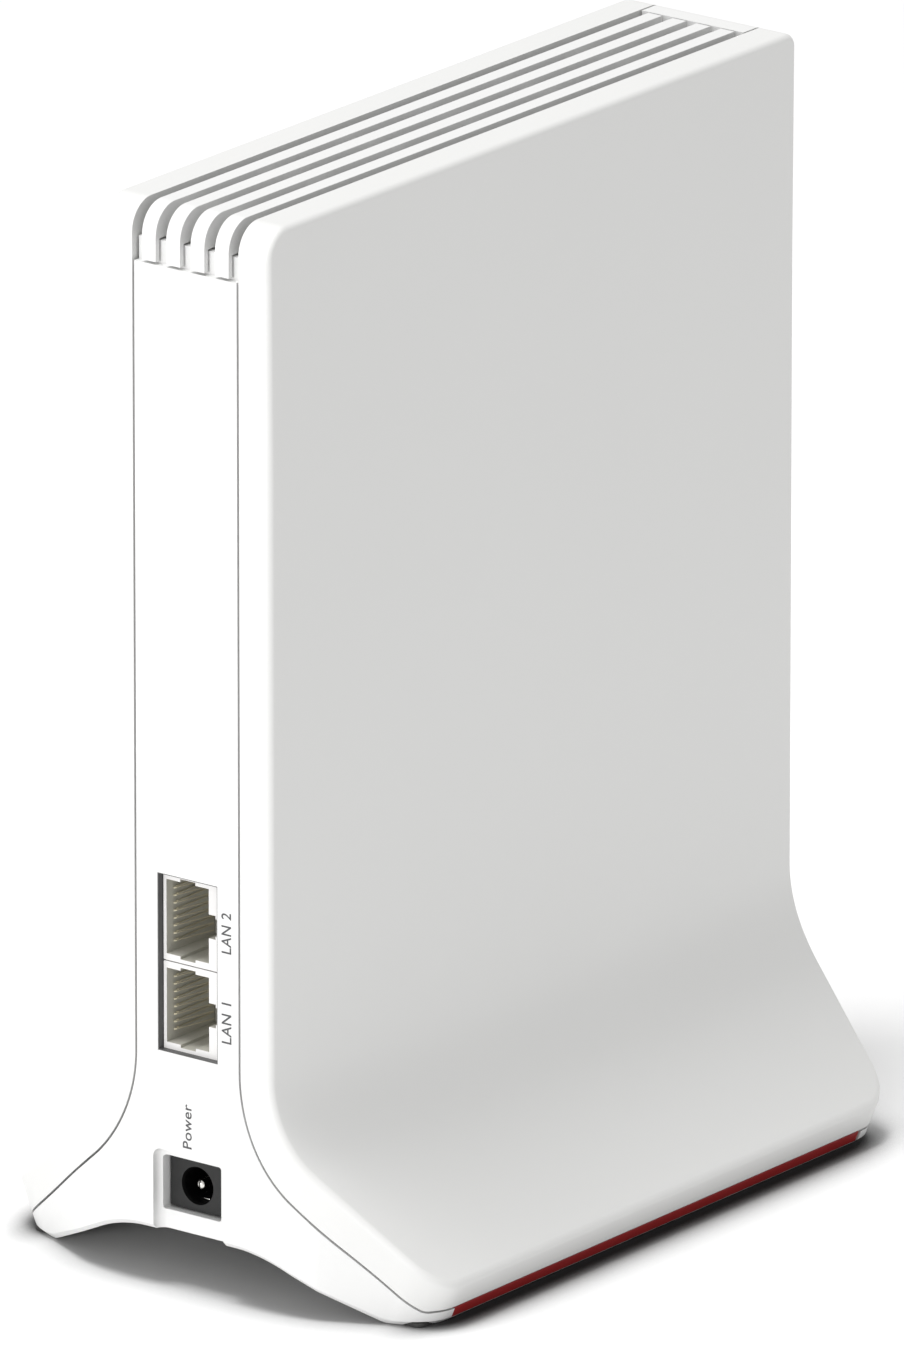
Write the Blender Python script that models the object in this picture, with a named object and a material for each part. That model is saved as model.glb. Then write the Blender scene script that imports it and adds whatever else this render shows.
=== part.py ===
"""Upright desktop wireless router, modelled as an assembly of separate pieces.

Frame: +Z up, origin at the middle of the base, on the surface it stands on.
The socket face looks along +Y, the button and status light look along -Y, and
the two big covers look along -X (left) and +X (right). Lengths below are in
millimetres, and point() turns them into Blender's metres, with the ground at 0.
"""

import math

import bmesh
import bpy
from mathutils import Vector

MM = 0.001
DATUM = 0.8                     # the ground lies this far below z = 0

# Driving dimensions of the enclosure
DEPTH = 139.0
HEIGHT = 180.0
BASE_WIDTH = 88.0
SLAB_WIDTH = 33.4
GAP = 0.4                       # seam between neighbouring mouldings
CLEAR = 0.3                     # clearance between pieces that only touch

# Cover profile, seen along Y: upright slab, concave flare, straight leg, toe
FLARE_RADIUS = 20.0
LEG_SLOPE = math.radians(40)
CREASE_Z = 6.5
TOE_LEAN = math.radians(23)
COVER_EDGE_Z = 2.1
COVER_RIM = 6.05                # how far the rim reaches in from the outer face
COVER_FLOOR = 2.2
COVER_WALL = 3.0
EDGE_ROUND = 1.0
TOP_ROUND = 5.0                 # at the rear corner
FRONT_ROUND = 2.5               # at the front corner

# Plan outline, seen from above: flat middle, blend, taper, round toe corner
FLAT_HALF = 12.0
TAPER_BLEND = 35.0
TAPER = math.radians(20)
TOE_ROUND = 8.0

# Centre housing
WALL = 2.2
FOOT_Z = -0.6
FOOT_FLOOR = 4.0
BOTTOM_CHAMFER = 0.8
ARCH_Z = 8.85
ARCH_FLAT = 9.0
ARCH_ROUND = 22.0
ARCH_SLOPE = math.radians(26)
PANEL_TOP = 170.5
STRIP_DEPTH = 5.8               # flush strip at the front end of the top
LIP_TOP = 174.3
LIP_IN = 1.3                    # how far the lip lies behind the socket face
LIP_THICK = 1.2

# Top grille
RIB_PITCH = 4.87
RIB_WIDTH = 2.8
RIB_COUNT = 4
GRILLE_UNDER = 174.6
BAR_TOP = 176.4
BAR_WIDTH = 2.2
BAR_COUNT = 6

# Sockets
LAN_WIDTH = 12.1
LAN_Z = (46.9, 61.8)
LAN_HEIGHT = 14.4
LAN_IN = 1.2
LAN_DEPTH = 16.0
POWER_X = 0.7
POWER_Z = 16.6
RECESS_HALF = 7.1
RECESS_TOP = 22.8
RECESS_IN = 2.1
POWER_FACE_IN = 3.33
POWER_HALF = 5.45
POWER_TALL = 8.6
BARREL = 6.4

# Feet, screws and accent strips
FOOT_X = 36.2
FOOT_Y = 50.0
PAD_SIZE = (6.4, 20.0)
PAD_TOP = -0.1
SCREW_HEAD = 4.4
SCREW_CORE = 1.4
STRIP_HALF = 54.0

# Main board and what stands on it
BOARD_X = (6.4, 8.0)
BOARD_Y = (-60.0, 66.6)
BOARD_Z = (12.0, 156.0)
BOARD_SCREWS = ((61.5, 30.0), (61.5, 148.0), (-56.0, 18.0), (-56.0, 148.0))

# Button and light on the front face
BUTTON_Z = 32.0
BUTTON_ROUND = 9.0
LIGHT_Z = 44.0

HALF_DEPTH = DEPTH / 2
HALF_BASE = BASE_WIDTH / 2
HALF_SLAB = SLAB_WIDTH / 2
HALF_BELT = HALF_SLAB - COVER_RIM - GAP
TOE_START = HALF_BASE - TOE_ROUND * (1 - math.sin(TAPER))

leg_run = HALF_BASE - HALF_SLAB - FLARE_RADIUS * (1 - math.sin(LEG_SLOPE))
LEG_LENGTH = leg_run / math.cos(LEG_SLOPE)
LEG_START = HALF_BASE - leg_run
LEG_TOP = CREASE_Z + leg_run * math.tan(LEG_SLOPE)
FLARE_ANGLE = math.pi / 2 - LEG_SLOPE
FLARE_TOP = LEG_TOP + FLARE_RADIUS * math.sin(FLARE_ANGLE)
SLAB_LENGTH = HEIGHT - FLARE_TOP
FLARE_LENGTH = FLARE_RADIUS * FLARE_ANGLE
RAIL_LENGTH = SLAB_LENGTH + FLARE_LENGTH + LEG_LENGTH

MATERIALS = {}


def point(x, y, z):
    """A place given in millimetres, as a vector in metres."""
    return Vector((x, y, z + DATUM)) * MM


def smooth_step(value):
    value = min(max(value, 0.0), 1.0)
    return value * value * (3 - 2 * value)


# ---------------------------------------------------------------- scene tools

def clear_scene():
    for obj in list(bpy.data.objects):
        bpy.data.objects.remove(obj, do_unlink=True)


def material(name, color, roughness, metallic=0.0):
    """The named material, made at its first use."""
    if name not in MATERIALS:
        made = bpy.data.materials.new(name)
        made.use_nodes = True
        shader = made.node_tree.nodes["Principled BSDF"]
        shader.inputs["Base Color"].default_value = (*color, 1.0)
        shader.inputs["Roughness"].default_value = roughness
        shader.inputs["Metallic"].default_value = metallic
        made.diffuse_color = (*color, 1.0)
        MATERIALS[name] = made
    return MATERIALS[name]


def add_object(name, verts, faces, finish=None):
    """A mesh object from points in millimetres, with its faces turned outwards."""
    mesh = bpy.data.meshes.new(name)
    mesh.from_pydata([point(*v) for v in verts], [], faces)
    shape = bmesh.new()
    shape.from_mesh(mesh)
    bmesh.ops.remove_doubles(shape, verts=shape.verts, dist=1e-7)
    bmesh.ops.recalc_face_normals(shape, faces=shape.faces)
    shape.to_mesh(mesh)
    shape.free()
    if finish:
        mesh.materials.append(finish)
    obj = bpy.data.objects.new(name, mesh)
    bpy.context.scene.collection.objects.link(obj)
    return obj


def prism(name, outline, low, high, axis, finish=None):
    """An outline extruded along an axis.

    The outline's pairs are (x, y) along Z, (x, z) along Y and (y, z) along X.
    """
    places = {
        "X": lambda a, b, h: (h, a, b),
        "Y": lambda a, b, h: (a, h, b),
        "Z": lambda a, b, h: (a, b, h),
    }
    place = places[axis]
    count = len(outline)
    verts = [place(a, b, low) for a, b in outline] + [place(a, b, high) for a, b in outline]
    faces = [list(range(count)), list(range(count, 2 * count))]
    faces += [[i, (i + 1) % count, count + (i + 1) % count, count + i] for i in range(count)]
    return add_object(name, verts, faces, finish)


def box(name, low, high, finish=None):
    outline = [(low[0], low[1]), (high[0], low[1]), (high[0], high[1]), (low[0], high[1])]
    return prism(name, outline, low[2], high[2], "Z", finish)


def circle(radius, center=(0.0, 0.0), sides=20):
    return [
        (
            center[0] + radius * math.cos(2 * math.pi * i / sides),
            center[1] + radius * math.sin(2 * math.pi * i / sides),
        )
        for i in range(sides)
    ]


def turned(name, profile, center, axis, finish=None, sides=16):
    """A solid turned about an axis from (radius, height) pairs, first to last."""
    places = {
        "X": lambda a, b, h: (center[0] + h, center[1] + a, center[2] + b),
        "Y": lambda a, b, h: (center[0] + a, center[1] + h, center[2] + b),
        "Z": lambda a, b, h: (center[0] + a, center[1] + b, center[2] + h),
    }
    place = places[axis]
    verts = []
    for radius, height in profile:
        verts += [place(a, b, height) for a, b in circle(radius, sides=sides)]
    faces = [list(range(sides)), list(range(len(verts) - sides, len(verts)))]
    for ring in range(len(profile) - 1):
        start = ring * sides
        for i in range(sides):
            j = (i + 1) % sides
            faces.append([start + i, start + j, start + sides + j, start + sides + i])
    return add_object(name, verts, faces, finish)


def combine(target, tool, operation="DIFFERENCE"):
    """Cut the tool out of the target, or join it on, and keep the tool as a guide."""
    tool.hide_render = True
    tool.display_type = "WIRE"
    step = target.modifiers.new(tool.name, "BOOLEAN")
    step.operation = operation
    step.solver = "EXACT"
    step.object = tool
    return target


def round_edges(obj, width, segments=1, angle=40):
    """A Bevel over the edges that turn by more than the angle, in degrees."""
    bevel = obj.modifiers.new("edge_round", "BEVEL")
    bevel.width = width * MM
    bevel.segments = segments
    bevel.limit_method = "ANGLE"
    bevel.angle_limit = math.radians(angle)
    return obj


def shade_round(obj, angle=35):
    obj.data.shade_smooth()
    obj.data.set_sharp_from_angle(angle=math.radians(angle))
    return obj


# ------------------------------------------------------------ enclosure shape

def plan_drop(across):
    """How far the end face lies in from DEPTH / 2 at a plan position across."""
    across = abs(across)
    blend_end = FLAT_HALF + TAPER_BLEND * math.sin(TAPER)
    blend_drop = TAPER_BLEND * (1 - math.cos(TAPER))
    if across < FLAT_HALF:
        return 0.0
    if across < blend_end:
        return TAPER_BLEND - math.sqrt(TAPER_BLEND ** 2 - (across - FLAT_HALF) ** 2)
    if across < TOE_START:
        return blend_drop + (across - blend_end) * math.tan(TAPER)
    drop = blend_drop + (TOE_START - blend_end) * math.tan(TAPER)
    reach = min(across - (HALF_BASE - TOE_ROUND), TOE_ROUND)
    return drop + TOE_ROUND * math.cos(TAPER) - math.sqrt(TOE_ROUND ** 2 - reach ** 2)


def lean(across):
    """Sideways lean of the plan outline, per millimetre down from the outer face."""
    return math.tan(TOE_LEAN) * smooth_step((across - LEG_START) / (TOE_START - LEG_START))


def leg_height(across):
    return CREASE_Z + (HALF_BASE - across) * math.tan(LEG_SLOPE)


def half_depth(x, z):
    """Half the depth of the enclosure at a place in its profile."""
    across = abs(x)
    if across > LEG_START - 8:
        for _ in range(30):
            across = abs(x) + lean(across) * (leg_height(across) - z)
    return HALF_DEPTH - plan_drop(min(across, HALF_BASE))


def profile_point(run, depth):
    """A place (x, z) in the right cover: run down its outer face, depth inwards."""
    if run <= SLAB_LENGTH:
        return HALF_SLAB - depth, HEIGHT - run
    center = HALF_SLAB + FLARE_RADIUS
    if run <= SLAB_LENGTH + FLARE_LENGTH:
        angle = math.pi + (run - SLAB_LENGTH) / FLARE_RADIUS
        radius = FLARE_RADIUS + depth
        return center + radius * math.cos(angle), FLARE_TOP + radius * math.sin(angle)
    along = run - SLAB_LENGTH - FLARE_LENGTH
    x = LEG_START + along * math.cos(LEG_SLOPE)
    z = LEG_TOP - along * math.sin(LEG_SLOPE)
    share = min((x - LEG_START) / (TOE_START - LEG_START), 1.0)
    tilt = LEG_SLOPE + (TOE_LEAN - LEG_SLOPE) * share
    reach = depth / math.cos(LEG_SLOPE - tilt)
    reach = min(reach, (z - COVER_EDGE_Z) / math.cos(tilt))
    return x - reach * math.sin(tilt), z - reach * math.cos(tilt)


def run_at(x):
    """The run down the outer face at which a leg point lies at x."""
    return SLAB_LENGTH + FLARE_LENGTH + (x - LEG_START) / math.cos(LEG_SLOPE)


def cover_stations(corner, corner_steps=6, flare_steps=8, leg_steps=4):
    """Outline stations down one end of a cover, as (run, fixed half width or None)."""
    stations = []
    for i in range(corner_steps + 1):
        angle = math.pi / 2 * i / corner_steps
        run = corner * (1 - math.cos(angle))
        stations.append((run, HALF_DEPTH - corner * (1 - math.sin(angle))))
    for i in range(flare_steps + 1):
        stations.append((SLAB_LENGTH + FLARE_LENGTH * i / flare_steps, None))
    for i in range(1, leg_steps):
        x = LEG_START + (TOE_START - LEG_START) * i / leg_steps
        stations.append((run_at(x), None))
    for i in range(corner_steps + 1):
        angle = TAPER + (math.pi / 2 - TAPER) * i / corner_steps
        x = HALF_BASE - TOE_ROUND * (1 - math.sin(angle))
        stations.append((run_at(x), HALF_DEPTH - plan_drop(x)))
    return stations


def cover_end(corner, inset, depth):
    """Points down one end of a layer of the right cover, as (run, half width)."""
    stations = cover_stations(corner)
    flat = []
    for run, fixed in stations:
        width = fixed if fixed is not None else half_depth(*profile_point(run, depth))
        flat.append(Vector((run, width)))
    ends = [Vector((flat[0].x, 0.0))] + flat + [Vector((flat[-1].x, 0.0))]
    side = []
    for i, here in enumerate(flat):
        before = (here - ends[i]).normalized()
        after = (ends[i + 2] - here).normalized()
        along = (before + after).normalized()
        miter = max(along.dot(after), 0.5)
        moved = here + Vector((along.y, -along.x)) * (inset / miter)
        side.append(moved)
    return side


def cover_layer(inset, depth):
    """Points of one closed outline layer of the right cover, +Y side first."""
    points = []
    rear = cover_end(TOP_ROUND, inset, depth)
    front = cover_end(FRONT_ROUND, inset, depth)
    for sign, order in ((1, rear), (-1, reversed(front))):
        for place in order:
            x, z = profile_point(place.x, depth)
            points.append((x, sign * place.y, z))
    return points


def cover(name, side, finish):
    """A tray-shaped cover: outer face, rounded edge, rim and inner floor."""
    turns = [math.pi / 2 * i / 3 for i in range(4)]
    steps = [(EDGE_ROUND * (1 - math.sin(t)), EDGE_ROUND * (1 - math.cos(t))) for t in turns]
    steps += [(0.0, COVER_RIM), (COVER_WALL, COVER_RIM), (COVER_WALL, COVER_FLOOR)]
    verts = []
    for inset, depth in steps:
        verts += [(side * x, y, z) for x, y, z in cover_layer(inset, depth)]
    half_count = len(cover_stations(TOP_ROUND))
    count = 2 * half_count
    last = len(verts) - count
    faces = []
    for i in range(half_count - 1):
        for start in (0, last):
            far = start + count - 1 - i
            faces.append([start + i, start + i + 1, far - 1, far])
    for ring in range(len(steps) - 1):
        start = ring * count
        for i in range(count):
            j = (i + 1) % count
            faces.append([start + i, start + j, start + count + j, start + count + i])
    made = add_object(name, verts, faces, finish)
    for end in (1, -1):
        center = (side * FOOT_X, end * FOOT_Y, 0.0)
        label = f"{name}_{'rear' if end > 0 else 'front'}"
        boss = turned(f"{label}_boss", [(2.7, 4.6), (2.7, 10.6)], center, "Z")
        combine(made, boss, "UNION")
        pilot = turned(f"{label}_pilot", [(1.1, 3.0), (1.1, 9.4)], center, "Z", sides=12)
        combine(made, pilot)
    return shade_round(made)


def arch_height(x):
    """Height of the underside across the base."""
    x = abs(x)
    bend = ARCH_ROUND * math.sin(ARCH_SLOPE)
    if x < ARCH_FLAT:
        return ARCH_Z
    if x < ARCH_FLAT + bend:
        return ARCH_Z - ARCH_ROUND + math.sqrt(ARCH_ROUND ** 2 - (x - ARCH_FLAT) ** 2)
    drop = ARCH_ROUND * (1 - math.cos(ARCH_SLOPE))
    line = ARCH_Z - drop - (x - ARCH_FLAT - bend) * math.tan(ARCH_SLOPE)
    return max(line, FOOT_Z)


def seam_height(x):
    """Height of the housing's upper edge under the cover, across a leg."""
    inner = COVER_RIM + GAP
    center = HALF_SLAB + FLARE_RADIUS
    radius = FLARE_RADIUS + inner
    line = leg_height(x) - inner / math.cos(LEG_SLOPE)
    if x < center - radius * math.cos(FLARE_ANGLE):
        line = FLARE_TOP - math.sqrt(max(radius ** 2 - (center - x) ** 2, 0.0))
    return max(line, COVER_EDGE_Z - GAP)


def leaning_x(across, z):
    """The x of the plan line named by its place on the outer face, at a height."""
    if across < LEG_START:
        return across
    return across - lean(across) * (leg_height(across) - z)


def housing_columns():
    """Half of the housing's end face, as (across, low z, high z) columns."""
    center, radius = HALF_SLAB + FLARE_RADIUS, FLARE_RADIUS + COVER_RIM + GAP
    flare = [center - radius * math.cos(FLARE_ANGLE * i / 7) for i in range(8)]
    places = [ARCH_FLAT - 3.0, ARCH_FLAT] + flare
    places += [22.0, LEG_START, 26.0, 28.5, 31.0, 33.5, 35.3, 37.0, TOE_START]
    steps = 5
    for i in range(1, steps + 1):
        angle = TAPER + (math.pi / 2 - TAPER) * i / steps
        places.append(HALF_BASE - TOE_ROUND * (1 - math.sin(angle)))
    columns = []
    for across in places:
        low, high = FOOT_Z, COVER_EDGE_Z
        for _ in range(12):
            low = arch_height(leaning_x(across, low))
            high = seam_height(leaning_x(across, high))
        columns.append((across, low, high))
    return columns


def housing_block():
    """The solid outer form of the housing, closed by lofting columns across X."""
    belt_low = FLARE_TOP
    loops = []
    columns = housing_columns()
    belt = [i for i, column in enumerate(columns) if column[0] < HALF_BELT + 0.01][-1]
    for number, (across, low, high) in enumerate(columns[:belt + 1] + columns[belt:]):
        mid, high = (belt_low, HEIGHT) if number <= belt else (high, high)
        if number == belt + 1:
            mid = high = belt_low
        reach = min(max(across - (HALF_BASE - TOE_ROUND), 0.0) / TOE_ROUND, 1.0)
        turn = math.asin(reach) if across >= TOE_START else 0.0
        rows = []
        for z in (low, low + BOTTOM_CHAMFER, mid, high):
            x = leaning_x(across, z)
            rows.append([x, HALF_DEPTH - plan_drop(across), z])
        rows[0][0] -= BOTTOM_CHAMFER * math.sin(turn)
        rows[0][1] -= BOTTOM_CHAMFER * math.cos(turn)
        loops.append([tuple(row) for row in rows] + [(x, -y, z) for x, y, z in reversed(rows)])
    mirrored = [[(-x, y, z) for x, y, z in loop] for loop in reversed(loops)]
    loops = mirrored + loops
    size = len(loops[0])
    verts = [place for loop in loops for place in loop]
    faces = []
    for start in (0, len(verts) - size):
        faces += [[start + i, start + i + 1, start + size - 2 - i, start + size - 1 - i]
                  for i in range(size // 2 - 1)]
    for ring in range(len(loops) - 1):
        start = ring * size
        for i in range(size):
            j = (i + 1) % size
            faces.append([start + i, start + j, start + size + j, start + size + i])
    return verts, faces


def housing_cavity():
    """The hollow of the housing: open at the sides and top, floor over the arch."""
    loops = []
    for across in (0.0, 6.0, ARCH_FLAT, 14.0, 18.5, 22.0, 26.5, 30.0, 34.0, 37.0, 40.0, 46.0):
        floor = max(arch_height(across) + WALL, FOOT_FLOOR)
        depth = half_depth(min(across, HALF_BASE), floor) - WALL
        loops.append([(across, depth, floor), (across, depth, 169.0),
                      (across, -depth, 169.0), (across, -depth, floor)])
    loops = [[(-x, y, z) for x, y, z in loop] for loop in reversed(loops[1:])] + loops
    verts = [place for loop in loops for place in loop]
    faces = [[0, 1, 2, 3], [len(verts) - 4 + i for i in range(4)]]
    for ring in range(len(loops) - 1):
        start = ring * 4
        for i in range(4):
            j = (i + 1) % 4
            faces.append([start + i, start + j, start + 4 + j, start + 4 + i])
    return add_object("housing_cavity", verts, faces)


def top_front_corner():
    """What is cut away to round the front end of the top."""
    arc = []
    for i in range(7):
        angle = math.pi / 2 * i / 6
        arc.append((-HALF_DEPTH + FRONT_ROUND * (1 - math.cos(angle)),
                    HEIGHT - FRONT_ROUND * (1 - math.sin(angle))))
    outside = [(-HALF_DEPTH + FRONT_ROUND, HEIGHT + 9), (-HALF_DEPTH - 9, HEIGHT + 9),
               (-HALF_DEPTH - 9, HEIGHT - FRONT_ROUND)]
    return prism("top_front_corner", arc + outside, -60, 60, "X")


def grille_pocket():
    """The open top: the strip stays in front, and the ledge and rear lip stay."""
    front = -HALF_DEPTH + STRIP_DEPTH
    lip = HALF_DEPTH - LIP_IN
    outline = [
        (front, HEIGHT + 12), (front, LIP_TOP), (front + 2.4, LIP_TOP), (front + 2.4, 165.0),
        (lip - LIP_THICK, 165.0), (lip - LIP_THICK, LIP_TOP), (lip, LIP_TOP),
        (lip, PANEL_TOP), (HALF_DEPTH + 9, PANEL_TOP), (HALF_DEPTH + 9, HEIGHT + 12),
    ]
    return prism("grille_pocket", outline, -60, 60, "X")


def centre_housing(finish):
    verts, faces = housing_block()
    made = add_object("centre_housing", verts, faces, finish)
    combine(made, top_front_corner())
    combine(made, grille_pocket())
    combine(made, housing_cavity())
    inner = HALF_DEPTH - WALL
    power_pad = box("power_pad", (-9.4, inner - 3.4, 10.4), (9.4, inner + 0.8, 25.4))
    combine(made, power_pad, "UNION")
    lan_low, lan_high = LAN_Z[0] - LAN_HEIGHT / 2 - CLEAR, LAN_Z[1] + LAN_HEIGHT / 2 + CLEAR
    lan_half = LAN_WIDTH / 2
    combine(made, box("lan_cutout", (-lan_half, 60, lan_low), (lan_half, 80, lan_high)))
    recess = [(-RECESS_HALF, 4.0), (RECESS_HALF, 4.0)]
    for center, turn in ((RECESS_HALF - 1.5, 0), (1.5 - RECESS_HALF, 1)):
        for i in range(4):
            angle = math.pi / 2 * (turn + i / 3)
            recess.append((center + 1.5 * math.cos(angle), RECESS_TOP - 1.5 + 1.5 * math.sin(angle)))
    combine(made, prism("power_recess", recess, HALF_DEPTH - RECESS_IN, 80, "Y"))
    opening = POWER_HALF + CLEAR
    tall = POWER_TALL / 2 + CLEAR
    power_cutout = box("power_cutout", (POWER_X - opening, 55, POWER_Z - tall),
                       (POWER_X + opening, 80, POWER_Z + tall))
    combine(made, power_cutout)
    combine(made, prism("button_hole", circle(BUTTON_ROUND / 2 + 0.4, (0, BUTTON_Z), 24),
                        -80, -60, "Y"))
    combine(made, box("light_hole", (-1.4, -80, LIGHT_Z - 1.4), (1.4, -60, LIGHT_Z + 1.4)))
    for number, (y, z) in enumerate(BOARD_SCREWS):
        wall = inner + 0.6 if y > 0 else -inner - 0.6
        low, high = sorted((wall, y - math.copysign(3.6, y)))
        tab = box(f"board_tab_{number}", (BOARD_X[1] + CLEAR, low, z - 4), (HALF_BELT, high, z + 4))
        combine(made, tab, "UNION")
        hole = prism(f"tab_hole_{number}", circle(1.2, (y, z), 10), 7, 15, "X")
        combine(made, hole)
    for x in (-6.0, -3.0, 0.0, 3.0, 6.0):
        for y in (-43.0, 43.0):
            label = f"vent_{'rear' if y > 0 else 'front'}_{int(x)}"
            combine(made, box(label, (x - 0.9, y - 11, 5), (x + 0.9, y + 11, 14)))
    for side in (1, -1):
        label = "right" if side > 0 else "left"
        low, high = sorted((side * 40.3, side * 50.0))
        groove = box(f"{label}_strip_groove", (low, -STRIP_HALF - CLEAR, -2),
                     (high, STRIP_HALF + CLEAR, 3.5))
        combine(made, groove)
        for end in (1, -1):
            name = f"{label}_{'rear' if end > 0 else 'front'}"
            x, y = side * FOOT_X, end * FOOT_Y
            half = [size / 2 + CLEAR for size in PAD_SIZE]
            recess = box(f"{name}_pad_recess", (x - half[0], y - half[1], -2),
                         (x + half[0], y + half[1], PAD_TOP + CLEAR))
            combine(made, recess)
            steps = [(SCREW_HEAD / 2 + CLEAR, PAD_TOP), (SCREW_HEAD / 2 + CLEAR, 3.0),
                     (SCREW_CORE / 2 + 0.5, 3.0), (SCREW_CORE / 2 + 0.5, 6.0)]
            combine(made, turned(f"{name}_screw_hole", steps, (x, y, 0), "Z"))
    return made


def top_grille(finish):
    """Four ribs that wrap over the rear corner, tied by bars under the slots."""
    front = -HALF_DEPTH + STRIP_DEPTH + CLEAR
    lip = HALF_DEPTH - LIP_IN + CLEAR
    half = RIB_PITCH * 1.5 + RIB_WIDTH / 2
    outline = [(front, HEIGHT)]
    for i in range(7):
        angle = math.pi / 2 * i / 6
        outline.append((HALF_DEPTH - TOP_ROUND * (1 - math.sin(angle)),
                        HEIGHT - TOP_ROUND * (1 - math.cos(angle))))
    outline += [(HALF_DEPTH, PANEL_TOP + GAP), (lip, PANEL_TOP + GAP), (lip, GRILLE_UNDER),
                (front, GRILLE_UNDER)]
    made = prism("top_grille", outline, -half, half, "X", finish)
    bay = (lip - 6 - front - 3) / BAR_COUNT
    comb = [(front - 5, HEIGHT + 9), (front - 5, BAR_TOP)]
    for i in range(BAR_COUNT):
        start = front + 2.4 + bay * i
        end = start + bay - BAR_WIDTH
        comb += [(start, BAR_TOP), (start, 165.0), (end, 165.0), (end, BAR_TOP)]
    last = front + 2.4 + bay * BAR_COUNT
    comb += [(last, BAR_TOP), (last, 165.0), (HALF_DEPTH + 9, 165.0), (HALF_DEPTH + 9, HEIGHT + 9)]
    slot = RIB_PITCH - RIB_WIDTH
    for number in range(RIB_COUNT - 1):
        x = RIB_PITCH * (number - 1)
        combine(made, prism(f"grille_slot_{number}", comb, x - slot / 2, x + slot / 2, "X"))
    return made


def accent_strip(name, side, finish):
    """Coloured strip along the long edge of the base, under the cover."""
    high, low = COVER_EDGE_Z - CLEAR, FOOT_Z + 0.5
    face = leaning_x(HALF_BASE, high) - 0.15
    outline = [(40.6, low), (face - (high - low) * math.tan(TOE_LEAN), low), (face, high),
               (40.6, high)]
    outline = [(side * x, z) for x, z in outline]
    return prism(name, outline, -STRIP_HALF, STRIP_HALF, "Y", finish)


def rubber_foot(name, x, y, finish):
    half_x, half_y = PAD_SIZE[0] / 2, PAD_SIZE[1] / 2
    cut = 1.5
    outline = [
        (x - half_x + cut, y - half_y), (x + half_x - cut, y - half_y), (x + half_x, y - half_y + cut),
        (x + half_x, y + half_y - cut), (x + half_x - cut, y + half_y), (x - half_x + cut, y + half_y),
        (x - half_x, y + half_y - cut), (x - half_x, y - half_y + cut),
    ]
    return prism(name, outline, -DATUM, PAD_TOP, "Z", finish)


# --------------------------------------------------------------------- inside

def screw(name, head, core, seat, tip, center, axis, finish):
    """A pan-head screw. Seat and tip lie along the axis, and the head behind seat."""
    turn = 1 if tip > seat else -1
    profile = [(head * 0.38, seat - turn * 1.4), (head / 2, seat - turn * 0.9), (head / 2, seat),
               (core / 2, seat), (core / 2, tip - turn * 0.6), (core * 0.2, tip)]
    return shade_round(turned(name, profile, center, axis, finish, sides=12))


def comb_profile(base, tip, low, high, fins, thick):
    """A fin plate's outline in (x, y): base and tip along X, fins spaced along Y."""
    base_far, base_near = base
    outline = [(base_near, low), (base_near, high), (base_far, high)]
    pitch = (high - low - thick) / (fins - 1)
    for i in reversed(range(fins)):
        start = low + pitch * i
        outline += [(base_far, start + thick), (tip, start + thick), (tip, start), (base_far, start)]
    unique = []
    for place in outline:
        if not unique or place != unique[-1]:
            unique.append(place)
    return unique[:-1] if unique[-1] == unique[0] else unique


def open_can(name, low, high, wall, finish):
    """A shield can: a lid with four walls, open towards the board at +X."""
    made = box(name, low, high, finish)
    hollow = box(f"{name}_hollow", (low[0] + wall, low[1] + wall, low[2] + wall),
                 (high[0] + 3, high[1] - wall, high[2] - wall))
    return combine(made, hollow)


def lan_jack(name, z, finish):
    half = LAN_WIDTH / 2 - CLEAR
    face = HALF_DEPTH - LAN_IN
    made = box(name, (-half, face - LAN_DEPTH, z - LAN_HEIGHT / 2), (half, face, z + LAN_HEIGHT / 2),
               finish)
    right, left, latch = 5.15, -3.4, -5.0
    upper = [(right, 6.25), (2.35, 6.25), (2.35, 6.75), (-0.7, 6.75), (-0.7, 6.25), (left, 6.25),
             (left, 3.0), (-4.2, 3.0), (-4.2, 2.0), (latch, 2.0)]
    outline = upper + [(x, -offset) for x, offset in reversed(upper)]
    outline = [(x, z + offset) for x, offset in outline]
    return combine(made, prism(f"{name}_socket", outline, face - 12.5, face + 9, "Y"))


def lan_contacts(name, z, finish):
    """Eight springs on one bar, sloping into the socket from its +X wall."""
    face = HALF_DEPTH - LAN_IN
    pitch, count, wire = 1.27, 8, 0.5
    outline = [(4.8, face - 12.1), (4.8, face - 2.6), (4.4, face - 2.6), (2.5, face - 7.6),
               (2.2, face - 9.2), (2.6, face - 9.3), (4.3, face - 6.2), (4.3, face - 12.1)]
    span = pitch * (count - 1) + wire
    made = prism(name, outline, z - span / 2, z + span / 2, "Z", finish)
    for i in range(count - 1):
        low = z - span / 2 + wire + pitch * i
        high = low + pitch - wire
        combine(made, box(f"{name}_gap_{i}", (0, face - 10.6, low), (9, face + 2, high)))
    return made


def chip(name, y, z, size, height, finish, side=-1):
    """A chip on the board; side -1 is the socket side, +1 the back."""
    seat = BOARD_X[0] - CLEAR if side < 0 else BOARD_X[1] + CLEAR
    low, high = sorted((seat, seat + side * height))
    return box(name, (low, y - size[0] / 2, z - size[1] / 2), (high, y + size[0] / 2, z + size[1] / 2),
               finish)


def main_board(finish):
    made = box("main_board", (BOARD_X[0], BOARD_Y[0], BOARD_Z[0]), (BOARD_X[1], BOARD_Y[1], BOARD_Z[1]),
               finish)
    notch = box("board_notch", (4, 62.8, 5), (10, 75, 26.2))
    combine(made, notch)
    for number, (y, z) in enumerate(BOARD_SCREWS):
        combine(made, prism(f"board_hole_{number}", circle(1.2, (y, z), 10), 4, 12, "X"))
    return made


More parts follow.
